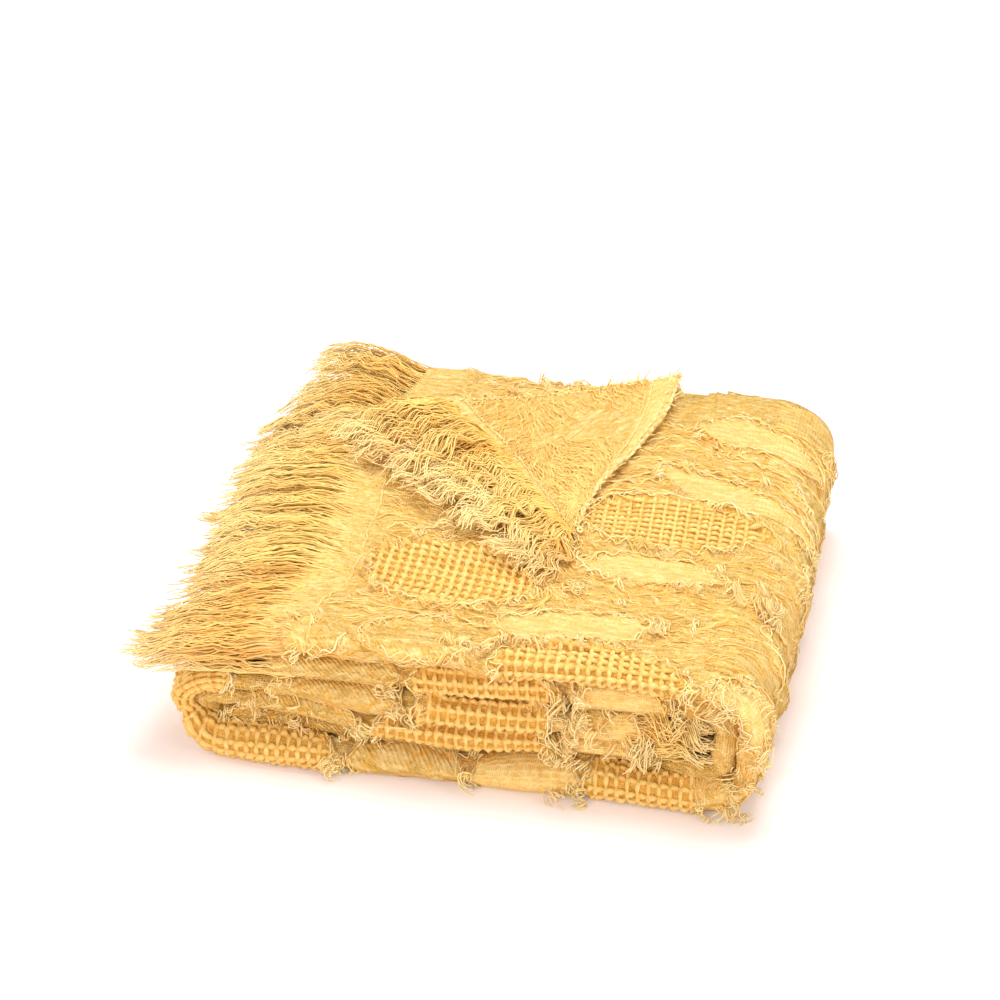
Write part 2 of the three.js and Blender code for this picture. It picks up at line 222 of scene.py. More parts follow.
@dataclass(frozen=True)
class WovenCotton:
    """Garment-washed cotton jacquard, coloured in the dye bath after weaving.

    The wash shrinks it into sharp creases, so the eye meets a matt cloth without shine. Its crests
    are painted pale as highlight, and between them, on steep sides and in the wells of the waffle
    it is painted deeper as shade.
    The single threads are too fine to show, so the picks are drawn about three times as coarse.
    """

    name: str
    colour: str
    deep: str
    pale: str
    slope_shade: str
    pick_mm: float = 1.6
    twill_mm: float = 2.3
    crinkle_mm: float = 4.0
    crease_mm: float = 15.0
    patch_mm: float = 41.667
    weave_depth: float = 0.4
    crinkle_depth: float = 3.4
    plain_calm: float = 0.55
    drawn_out: float = 0.42
    twill_turn: float = 0.9
    well_shade: float = 0.65

    def build(self) -> Material:
        """Build the cloth's material from its UV map, which is in metres of cloth.

        Returns:
            The finish, which also reads the shares of the weaves from the cloth's attributes.
        """
        material = bpy.data.materials.new(self.name)
        tree = empty_tree(material)
        cloth = add_node(tree, "ShaderNodeUVMap", {"uv_map": "cloth"})
        well, plain, twill = (
            add_node(tree, "ShaderNodeAttribute", {"attribute_name": name}).outputs["Fac"]
            for name in ("well", "plain_leaf", "twill_leaf"))
        crinkle = self._crinkle(tree, cloth)
        weave = self._weave(tree, cloth, twill)
        depth = self.crinkle_depth * MM
        calm = add_node(tree, "ShaderNodeMapRange", None, {
            "Value": plain, "To Min": depth, "To Max": self.plain_calm * depth})
        coarse = add_node(tree, "ShaderNodeBump", None, {
            "Distance": calm, "Height": crinkle})
        fine = add_node(tree, "ShaderNodeBump", None, {
            "Distance": self.weave_depth * MM, "Height": weave, "Normal": coarse})
        dye_and_shade = self._colour(tree, cloth, crinkle, well, plain)
        shader = add_node(tree, "ShaderNodeBsdfPrincipled", None, {
            "Base Color": self._paint_slope_shade(tree, dye_and_shade, coarse), "Roughness": 0.9, "IOR": 1.5,
            "Specular IOR Level": 0.1, "Normal": fine})
        add_node(tree, "ShaderNodeOutputMaterial", None, {"Surface": shader})
        return material

    def _crinkle(self, tree: Tree, cloth: Node) -> Node:
        """Make the washed-in crinkle, drawn out along the length, with sharp creases.

        Args:
            tree: The material's nodes.
            cloth: Place on the cloth in metres.

        Returns:
            The crinkle's height.
        """
        drawn = add_node(tree, "ShaderNodeMapping", None, {
            "Vector": cloth, "Scale": (self.drawn_out, 1.0, 1.0),
            "Rotation": (0, 0, 0.1)})
        small = add_node(tree, "ShaderNodeTexNoise", None, {
            "Vector": drawn, "Scale": 1 / (self.crinkle_mm * MM), "Detail": 5.0,
            "Roughness": 0.68, "Distortion": 1.4})
        wide = add_node(tree, "ShaderNodeTexNoise", None, {
            "Vector": drawn, "Scale": 1 / (self.crease_mm * MM), "Detail": 3.0,
            "Roughness": 0.6, "Distortion": 2.2})
        # Folding the wide noise about its middle turns it into thin creases between soft swells.
        offset = add_node(tree, "ShaderNodeMath", {"operation": "SUBTRACT"}, {0: wide, 1: 0.5})
        folded = add_node(tree, "ShaderNodeMath", {"operation": "ABSOLUTE"}, {0: offset})
        return add_node(tree, "ShaderNodeMath", {"operation": "MULTIPLY_ADD"}, {
            0: folded, 1: -0.55, 2: small})

    def _weave(self, tree: Tree, cloth: Node, twill: Socket) -> Node:
        """Make the threads: a plain weave, or slanting ribs in a twill leaf.

        Args:
            tree: The material's nodes.
            cloth: Place on the cloth in metres.
            twill: Share of the twill leaf.

        Returns:
            The threads' height.
        """

        def ribs(pitch_mm: float, turn: float) -> Node:
            """Make ribs; a wave of scale 1 is pi / 10 wide.

            Args:
                pitch_mm: Distance between ribs.
                turn: Angle from the length, in radians.

            Returns:
                The ribs' height.
            """
            turned = add_node(tree, "ShaderNodeMapping", None, {
                "Vector": cloth, "Rotation": (0, 0, turn)})
            return add_node(tree, "ShaderNodeTexWave", {"bands_direction": "X"}, {
                "Vector": turned, "Scale": math.pi / (10 * pitch_mm * MM),
                "Distortion": 1.6, "Detail": 1.5, "Detail Scale": 1.5})

        plain = add_node(tree, "ShaderNodeMath", {"operation": "MAXIMUM"}, {
            0: ribs(self.pick_mm, 0.0), 1: ribs(self.pick_mm, math.pi / 2)})
        slanting = add_node(tree, "ShaderNodeMath", {"operation": "MULTIPLY"}, {
            0: ribs(self.twill_mm, self.twill_turn), 1: 1.7})
        return add_node(tree, "ShaderNodeMix", {"data_type": "FLOAT"}, {
            "Factor": twill, "A": plain, "B": slanting})

    def _paint_slope_shade(self, tree: Tree, dye_and_shade: Node, bump: Node) -> Node:
        """Paint shade on steep sides, standing in for light that bounces from thread to thread.

        Args:
            tree: The material's nodes.
            dye_and_shade: The colour of level cloth: its dye, with painted highlight on the crests and
                painted shade between them.
            bump: The bump of the crinkle.

        Returns:
            The colour with its painted slope shade.
        """
        facing = add_node(tree, "ShaderNodeNewGeometry").outputs["Normal"]
        level = add_node(tree, "ShaderNodeVectorMath", {"operation": "DOT_PRODUCT"}, {
            0: facing, 1: bump})
        flat = add_node(tree, "ShaderNodeMapRange", None, {
            "Value": level, "From Min": 0.45, "From Max": 0.97})
        # Painted shade: where the crinkle's bump tilts away from the surface, the colour turns to the slope
        # colour.
        return add_node(tree, "ShaderNodeMix", {"data_type": "RGBA"}, {
            "Factor": flat, "A": linear(self.slope_shade), "B": dye_and_shade})

    def _colour(self, tree: Tree, cloth: Node, crinkle: Node, well: Socket, plain: Socket) -> Node:
        """Make the colour: a painted highlight, pale, on the creases; painted shade, deep, between them and
        in the wells; calmer on the plain leaves.

        Args:
            tree: The material's nodes.
            cloth: Place on the cloth in metres.
            crinkle: Height of the crinkle.
            well: Share of the waffle's wells.
            plain: Share of the plain leaves.

        Returns:
            The colour of level cloth, with its painted highlight and shade.
        """
        # Painted highlight and shade: the crinkle's crests take the pale colour and its hollows the deep
        # one.
        crest = add_node(tree, "ShaderNodeMapRange", None, {
            "Value": crinkle, "From Min": 0.34, "From Max": 0.55})
        body = add_node(tree, "ShaderNodeMix", {"data_type": "RGBA"}, {
            "Factor": crest, "A": linear(self.deep), "B": linear(self.pale)})
        patchy = add_node(tree, "ShaderNodeTexNoise", None, {
            "Vector": cloth, "Scale": 1 / (self.patch_mm * MM), "Detail": 2.0})
        little = add_node(tree, "ShaderNodeMath", {"operation": "MULTIPLY"}, {0: patchy, 1: 0.5})
        dye_and_shade = add_node(tree, "ShaderNodeMix", {"data_type": "RGBA"}, {
            "Factor": little, "A": body, "B": linear(self.colour)})
        even = add_node(tree, "ShaderNodeMath", {"operation": "MULTIPLY"}, {0: plain, 1: 0.45})
        smooth = add_node(tree, "ShaderNodeMix", {"data_type": "RGBA"}, {
            "Factor": even, "A": dye_and_shade, "B": linear(self.colour)})
        # Painted shade: the waffle's wells are darkened toward the deep colour.
        sunk = add_node(tree, "ShaderNodeMath", {"operation": "MULTIPLY"}, {0: well, 1: self.well_shade})
        return add_node(tree, "ShaderNodeMix", {"data_type": "RGBA"}, {
            "Factor": sunk, "A": smooth, "B": linear(self.deep)})


@dataclass(frozen=True)
class CottonYarn:
    """Soft-spun cotton yarn.

    Its fibres stand loose, so the eye sees no shine, uneven dye in slubs along each yarn, and a
    paler end where it frays. A plied cord also has a fuzzy surface, drawn a little too coarse.
    Where a piece sets the `tone` by layer or height, its deep colour is painted shade.
    """

    name: str
    colour: str
    deep: str
    tip: str
    fuzz_depth_mm: float = 0.0
    fuzz_mm: float = 1.25
    slub_mm: float = 4.0

    def build(self) -> Material:
        """Build the yarn's material from the `tone` and `tip` attributes of its tubes.

        Returns:
            The finish.
        """
        material = bpy.data.materials.new(self.name)
        tree = empty_tree(material)
        tone = add_node(tree, "ShaderNodeAttribute", {"attribute_name": "tone"}).outputs["Fac"]
        tip = add_node(tree, "ShaderNodeAttribute", {"attribute_name": "tip"}).outputs["Fac"]
        place = add_node(tree, "ShaderNodeTexCoord").outputs["Object"]
        slub = add_node(tree, "ShaderNodeTexNoise", None, {
            "Vector": place, "Scale": 1 / (self.slub_mm * MM), "Detail": 2.0})
        uneven = add_node(tree, "ShaderNodeMath", {"operation": "MULTIPLY_ADD"}, {
            0: slub, 1: 0.8, 2: -0.4})
        dye = add_node(tree, "ShaderNodeMath", {"operation": "ADD", "use_clamp": True}, {
            0: tone, 1: uneven})
        body = add_node(tree, "ShaderNodeMix", {"data_type": "RGBA"}, {
            "Factor": dye, "A": linear(self.deep), "B": linear(self.colour)})
        frayed = add_node(tree, "ShaderNodeMix", {"data_type": "RGBA"}, {
            "Factor": tip, "A": body, "B": linear(self.tip)})
        shader = add_node(tree, "ShaderNodeBsdfPrincipled", None, {
            "Base Color": frayed, "Roughness": 0.9, "IOR": 1.5, "Specular IOR Level": 0.1})
        if self.fuzz_depth_mm:
            fuzz = add_node(tree, "ShaderNodeTexNoise", None, {
                "Vector": place, "Scale": 1 / (self.fuzz_mm * MM), "Detail": 3.0,
                "Roughness": 0.7})
            bump = add_node(tree, "ShaderNodeBump", None, {
                "Distance": self.fuzz_depth_mm * MM, "Height": fuzz})
            tree.links.new(bump.outputs["Normal"], shader.inputs["Normal"])
        add_node(tree, "ShaderNodeOutputMaterial", None, {"Surface": shader})
        return material


# ---------------- the folded stack


@dataclass(frozen=True)
class FoldSizes:
    """Driving sizes of the folded stack, in millimetres."""

    cloth: float = 3.0
    clearance: float = 1.3
    left: float = -210.0
    right: float = 204.0
    depth: float = 374.0
    level: float = 34.4
    gap: float = 3.4
    turn_radius: float = 6.0
    outer_end: float = -140.0
    inner_end: float = 132.0

    @property
    def front(self) -> float:
        """Y of the front of the tidy stack."""
        return -self.depth / 2

    @property
    def back(self) -> float:
        """Y of the back of the tidy stack."""
        return self.depth / 2

    @property
    def top_inner(self) -> float:
        """Height of the top level's underside."""
        return 2 * (self.level + self.gap)

    @property
    def top(self) -> float:
        """Height of the tidy stack."""
        return self.top_inner + self.level


SIZES = FoldSizes()
HALF = SIZES.cloth / 2
PLY_STEP = SIZES.cloth + SIZES.clearance

# Points along each ply, each fold between plies, each straight run and each quarter or half turn.
PLY_POINTS, FOLD_POINTS, RUN_POINTS, TURN_POINTS = 49, 18, 40, 14

# Centre height of each ply in its level at the front and at the back, and how far its back
# edge or fold stands in from the back of the stack.
PLIES = [
    (SIZES.level - HALF, SIZES.level - HALF, 2.0),
    ((SIZES.level + PLY_STEP) / 2, SIZES.level - HALF - PLY_STEP, 0.0),
    ((SIZES.level - PLY_STEP) / 2, HALF + PLY_STEP, 0.0),
    (HALF, HALF, 7.0),
]

# Offset of the fringed ends along the length: ply, place from front (0) to back (1), offset of
# the outer end, offset of the inner end.
END_EDGE = [
    (0, 1.0, 80, 0), (0, 0.76, 49, 4), (0, 0.56, 2, 6), (0, 0.19, 11, 0), (0, 0.08, -3, -2),
    (0, 0.0, 0, -4), (1, 0.0, -2, -4), (1, 0.5, 3, 2), (1, 0.76, 8, 4), (1, 1.0, 28, 6),
    (2, 1.0, 22, 4), (2, 0.4, 5, -3), (2, 0.0, 0, -6), (3, 0.0, 2, -5), (3, 1.0, 14, 5),
]

# Where each layer boundary settles, at stations along X, from the floor up.
SETTLED_X = [-234, -190, -130, -60, 0, 85, 150, 212]
SETTLED = [
    [0, 23, 33, 36, 50, 60, 64, 70, 84],
    [0, 24, 34, 38, 52, 67, 71, 83, 99],
    [0, 24, 33, 40, 53, 68, 72, 86, 107],
    [0, 20, 27, 31, 47, 68, 72, 90, 108],
    [0, 17, 24, 28, 45, 67, 71, 91, 109],
    [0, 24, 32, 36, 49, 70, 74, 95, 111],
    [0, 24, 34, 38, 53, 71, 75, 94, 109],
    [0, 18, 34, 38, 55, 71, 75, 91, 105],
]

# How far the front of each roll stands out, from the roll at the floor to the top one.
ROLL_LEVELS = [0.25, 0.75, 1.3, 1.8, 2.4, 2.9]
REACH_X = [-212, -120, -20, 80, 150, 212]
REACH = [
    [6, -8, -4, 0, 4, 5],
    [11, -12, 1, -1, 1, -3],
    [5, -20, 3, 3, 0, -2],
    [2, -22, -1, 2, -3, 1],
    [3, -14, -6, -2, -4, 2],
    [2, -4, -6, 4, 2, -8],
]

# Swell of the stack as a share of its height, by place across (Y) and along (X).
SWELL_X = [-225, -170, -110, 0, 120, 212]
SWELL_Y = [SIZES.front, -60, 60, 124, SIZES.back]
SWELL = [
    [-0.06, -0.03, -0.01, 0, 0, -0.03],
    [-0.02, 0, 0, 0.01, 0.02, 0],
    [0.04, 0.04, 0.02, 0, 0.02, 0.01],
    [0.09, 0.16, 0.05, 0.01, 0.03, 0.01],
    [0.13, 0.28, 0.08, 0.01, 0.04, 0.01],
]
LEAN = ([0, 35, 80, 112], [4, 0, 2, 0])
SKEW = ([SIZES.front, 0, SIZES.back], [-3, 2, 0])


class FoldedStack:
    """The way the cloth is folded: it turns cloth coordinates into places in the stack."""

    def __init__(self, sizes: FoldSizes = SIZES) -> None:
        """Lay out the section across the width and the path along the length.

        Args:
            sizes: Driving sizes of the stack.
        """
        self.sizes = sizes
        self.layers = np.array([0, 0.5, 1, 1, 1.5, 2, 2, 2.5, 3]) * sizes.level
        self.layers += np.array([0, 0, 0, 1, 1, 1, 2, 2, 2]) * sizes.gap
        self._lay_section()
        self._lay_path()

    def _lay_section(self) -> None:
        """Lay out the pleats: four plies joined by folds at the front, back and front."""
        size = self.sizes
        rows = []
        for ply, (front, back, inset) in enumerate(PLIES):
            forward = ply % 2 == 0
            pair = PLIES[ply + 1 if forward else ply - 1]
            y_front = size.front + abs(front - pair[0]) / 2
            back_radius = (PLIES[1][1] - PLIES[2][1]) / 2 if ply in (1, 2) else 0.0
            y_back = size.back - back_radius - inset
            place = np.linspace(1, 0, PLY_POINTS) if forward else np.linspace(0, 1, PLY_POINTS)
            height = front + (back - front) * eased(place)
            along = 2 * ply + (1 - place if forward else place)
            rows.append(np.stack([y_front + (y_back - y_front) * place, height, along], axis=1))
            if ply == len(PLIES) - 1:
                break
            upper = front if forward else back
            lower = PLIES[ply + 1][0 if forward else 1]
            radius = (upper - lower) / 2
            sign, centre = (-1, y_front) if forward else (1, y_back)
            turn = np.linspace(0, math.pi, FOLD_POINTS)[1:-1]
            rows.append(np.stack([
                centre + sign * radius * np.sin(turn),
                (upper + lower) / 2 + radius * np.cos(turn),
                2 * ply + 1 + turn / math.pi,
            ], axis=1))
        section = np.concatenate(rows)
        step = np.gradient(section[:, :2], axis=0)
        step /= np.linalg.norm(step, axis=1, keepdims=True)
        gap = np.linalg.norm(np.diff(section[:, :2], axis=0), axis=1)
        self.section_w = np.concatenate([[0], np.cumsum(gap)])
        self.section = np.stack([
            section[:, 0], section[:, 1], step[:, 1], -step[:, 0], section[:, 2]])
        self.width = float(self.section_w[-1])
        self.fold_w = [float(np.interp(2 * k + 1.5, section[:, 2], self.section_w)) for k in range(3)]

    def _lay_path(self) -> None:
        """Lay out the length: top run, right turn, bottom run, left turn and middle run."""
        size = self.sizes
        right = size.right - size.level - size.turn_radius
        left_radius = size.gap / 2
        left = size.left + size.level + left_radius
        stations = []

        def run(x_from: float, x_to: float, z: float, angle: float, shares: tuple) -> None:
            """Add a straight run, with the share of each end's offset at its start and end."""
            for share in np.linspace(0, 1, RUN_POINTS):
                moved = [a + (b - a) * share for a, b in shares]
                stations.append([x_from + (x_to - x_from) * share, z, angle, *moved])

        def turn(x: float, z: float, radius: float, start: float, end: float) -> None:
            """Add a round turn of the inner face."""
            for angle in np.linspace(start, end, TURN_POINTS):
                stations.append([
                    x + radius * math.sin(angle), z + radius * math.cos(angle), angle, 0, 0])

        run(size.outer_end, right, size.top_inner, 0, ((1, 0), (0, 0)))
        turn(right, size.top_inner - size.turn_radius, size.turn_radius, 0, math.pi / 2)
        turn(right, size.level + size.turn_radius, size.turn_radius, math.pi / 2, math.pi)
        run(right, left, size.level, math.pi, ((0, 0), (0, 0)))
        turn(left, size.level + left_radius, left_radius, math.pi, TAU)
        run(left, size.inner_end, size.level + size.gap, TAU, ((0, 0), (0, 1)))
        path = np.array(stations)
        normal = np.stack([np.sin(path[:, 2]), np.cos(path[:, 2])], axis=1)
        middle = path[:, :2] + normal * size.level / 2
        gap = np.linalg.norm(np.diff(middle, axis=0), axis=1)
        self.path_s = np.concatenate([[0], np.cumsum(gap + 1e-6)])
        self.path = np.stack([path[:, 0], path[:, 1], *normal.T, path[:, 3], path[:, 4]])
        self.length = float(self.path_s[-1])
        ends = np.cumsum([RUN_POINTS, 2 * TURN_POINTS, RUN_POINTS, TURN_POINTS]) - 1
        self.turn_s = [float(self.path_s[k]) for k in ends]

    def place(self, s: Array, w: Array, lift: Array | float) -> Array:
        """Return the settled place of cloth coordinates.

        Args:
            s: Place along the length; below 0 or above the length it runs past a fringed end.
            w: Place across the width.
            lift: Height above the cloth's middle, on its right side.

        Returns:
            Places in millimetres, one row each.
        """
        s, w = np.broadcast_arrays(np.asarray(s, float), np.asarray(w, float))
        shape = s.shape
        s, w = s.ravel(), w.ravel()
        lift = np.broadcast_to(lift, shape).ravel()
        x, z, nx, nz, outer, inner = (np.interp(s, self.path_s, row) for row in self.path)
        y, height, ny, nh, along = (np.interp(w, self.section_w, row) for row in self.section)
        keys = [2 * ply + (place if ply % 2 else 1 - place) for ply, place, _, _ in END_EDGE]
        offsets = from_table(keys, [[row[2], row[3]] for row in END_EDGE], along)
        height = height + nh * lift
        x = x + outer * offsets[:, 0] + inner * offsets[:, 1] + height * nx
        x += np.minimum(s, 0) + np.maximum(s - self.length, 0)
        tidy = np.stack([x, y + ny * lift, z + height * nz], axis=1)
        return self.settle(tidy).reshape(*shape, 3)

    def settle(self, tidy: Array) -> Array:
        """Move places of the tidy stack to where the soft, uneven stack has them.

        Args:
            tidy: Places in millimetres, one row each.

        Returns:
            The settled places.
        """
        x, y, z = tidy.T
        heights = from_table(SETTLED_X, SETTLED, x)
        swells = from_table(SWELL_X, np.array(SWELL).T.tolist(), x)
        reaches = from_table(REACH_X, REACH, x)
        swell = along_rows(SWELL_Y, swells, y, soft=False)
        front_share = np.clip((self.sizes.back - y) / self.sizes.depth, 0, 1)
        rolls = np.array(ROLL_LEVELS) * self.sizes.level
        return np.stack([
            x + from_table(*LEAN, z) + from_table(*SKEW, y),
            y - along_rows(rolls, reaches, z) * front_share,
            along_rows(self.layers, heights, z, soft=False) * (1 + swell),
        ], axis=1)

    def on_top(self, x: float, y: float) -> tuple[float, float]:
        """Return the cloth coordinates of a place on the top ply, seen from above."""
        return x - self.sizes.outer_end, self.sizes.back - PLIES[0][2] - y


# ---------------- leaves of the jacquard


class Weave(Enum):
    """How a leaf is woven: its share's name, its height in millimetres and how calm it lies."""

    WAFFLE = ("well", -1.2, 0.85)
    PLAIN = ("plain_leaf", 1.5, 0.8)
    TWILL = ("twill_leaf", 0.8, 0.55)

    @property
    def label(self) -> str:
        """Name of the weave's share."""
        return self.value[0]


@dataclass(frozen=True)
class Leaf:
    """One leaf of the pattern, between two tips, in cloth coordinates.

    `cell` is the waffle's pitch along and across, `cord` the radius of its cords, and `tufts`
    how thickly cut floats stand around the leaf.
    """

    weave: Weave
    start: tuple[float, float]
    end: tuple[float, float]
    bulge_low: float
    bulge_high: float
    cell: tuple[float, float] = (7.2, 7.4)
    tufts: float = 1.0
    cord: float = 1.7

    @staticmethod
    def taper(share: Array) -> Array:
        """Return the half-width from tip (0) to tip (1), as a share of the bulge."""
        return np.clip(1 - np.abs(2 * share - 1) ** 2.4, 0, 1) ** 0.8

    def inside(self, s: Array, w: Array) -> Array:
        """Measure how far places are inside the leaf's outline.

        Args:
            s: Places along.
            w: Places across.

        Returns:
            Depths in millimetres, negative outside.
        """
        length = math.dist(self.start, self.end)
        direction = (np.array(self.end, float) - self.start) / length
        ds, dw = s - self.start[0], w - self.start[1]
        share = (ds * direction[0] + dw * direction[1]) / length
        across = -ds * direction[1] + dw * direction[0]
        half = np.where(across < 0, self.bulge_low, self.bulge_high) * self.taper(share)
        beyond = np.maximum(np.abs(share - 0.5) - 0.5, 0) * length
        return np.where(beyond > 0, -np.hypot(beyond, across), half - np.abs(across))

    def outline(self, step: float) -> tuple[Array, Array]:
        """Draw the leaf's outline.

        Args:
            step: Mean distance between points, in millimetres.

        Returns:
            Closed outline points in cloth coordinates, and the outward direction at each.
        """
        length = math.dist(self.start, self.end)
        direction = (np.array(self.end, float) - self.start) / length
        normal = np.array([-direction[1], direction[0]])
        count = max(int(length / step), 8)
        share = (1 - np.cos(np.linspace(0, math.pi, count))) / 2
        spine = np.array(self.start) + np.outer(share * length, direction)
        sides = []
        for bulge, order in ((self.bulge_high, 1), (-self.bulge_low, -1)):
            line = spine + np.outer(bulge * self.taper(share), normal)
            sides.append(line[::order])
        line = np.concatenate([sides[0], sides[1][1:-1]])
        tangent = unit(np.roll(line, -1, axis=0) - np.roll(line, 1, axis=0))
        return line, np.stack([-tangent[:, 1], tangent[:, 0]], axis=1)


def front_leaves(stack: FoldedStack) -> list[Leaf]:
    """List the leaves that show on the top, on the front rolls and around the two turns.

    Args:
        stack: The folded stack.

    Returns:
        The leaves, in the order in which they are dressed.
    """
    roll_outer, back, roll_inner = stack.fold_w
    top = stack.on_top
    waffle, plain, twill = Weave
    return [
        Leaf(waffle, top(-106, -86), top(26, -106), 39, 37, (7.2, 7.6), 0.6),
        Leaf(waffle, top(34, -8), top(174, -2), 32, 34, (8.6, 6.3), 0.2, 1.5),
        Leaf(waffle, (158, roll_outer - 2), (292, roll_outer - 8), 26, 24, (7.0, 7.0), 0.7),
        Leaf(plain, (306, roll_outer - 4), (384, roll_outer - 34), 13, 14, tufts=1.2),
        Leaf(twill, top(-74, -176), top(24, -166), 16, 18, tufts=1.2),
        Leaf(plain, top(8, -150), top(120, -132), 12, 20, tufts=1.2),
        Leaf(plain, top(48, -66), top(160, -70), 16, 14, tufts=1.1),
        Leaf(plain, top(80, 66), top(196, 22), 12, 16, tufts=0.5),
        Leaf(plain, top(96, 128), top(190, 108), 22, 14, tufts=0.6),
        Leaf(twill, (318, 110), (410, 150), 24, 20, tufts=0.9),
        Leaf(plain, (330, 190), (420, 232), 22, 22, tufts=0.9),
        Leaf(twill, (322, 284), (414, 318), 22, 20),
        Leaf(plain, (330, 36), (410, 70), 20, 18, tufts=0.6),
        Leaf(twill, top(-128, -178), top(-84, -182), 9, 10, tufts=0.8),
        # Inner roll of the top level.
        Leaf(waffle, (100, roll_inner + 1), (200, roll_inner), 20, 20, (7.0, 7.0), 0.7),
        Leaf(plain, (216, roll_inner), (276, roll_inner + 1), 15, 15, tufts=1.1),
        Leaf(twill, (6, roll_inner), (92, roll_inner - 3), 16, 16, tufts=1.3),
        # Middle level, inner roll and outer roll.
        Leaf(waffle, (914, roll_inner), (1040, roll_inner), 21, 21, (7.0, 7.0), 0.7),
        Leaf(plain, (1050, roll_inner), (1096, roll_inner), 14, 14, tufts=1.2),
        Leaf(twill, (820, roll_inner), (905, roll_inner + 2), 15, 15, tufts=1.3),
        Leaf(waffle, (942, roll_outer), (1040, roll_outer), 21, 21, (7.0, 7.0), 0.7),
        Leaf(twill, (838, roll_outer), (932, roll_outer + 2), 17, 17, tufts=1.1),
        Leaf(plain, (1050, roll_outer), (1100, roll_outer), 14, 14, tufts=1.1),
        # Bottom level and the left turn.
        Leaf(waffle, (660, roll_outer), (812, roll_outer - 4), 27, 27, (7.4, 4.9), 0.4, 1.85),
        Leaf(waffle, (408, roll_outer), (486, roll_outer), 25, 24, (7.4, 5.2), 0.7),
        Leaf(twill, (574, roll_outer), (652, roll_outer + 1), 19, 19, tufts=1.2),
        Leaf(plain, (494, roll_outer), (566, roll_outer), 19, 19, tufts=1.2),
        Leaf(plain, (560, roll_inner), (640, roll_inner), 16, 16, tufts=0.8),
        Leaf(twill, (650, roll_inner), (738, roll_inner), 17, 17, tufts=0.8),
        # Under the turned corner, near the back fold.
        Leaf(waffle, (120, back - 26), (206, back - 14), 12, 12, (7.0, 6.6), 1.0, 1.5),
        # Outer face of the left turn.
        Leaf(plain, (742, 60), (800, 96), 20, 20, tufts=0.6),
        Leaf(twill, (744, 150), (806, 180), 22, 22, tufts=0.6),
        Leaf(plain, (740, 236), (804, 268), 22, 22, tufts=0.6),
    ]


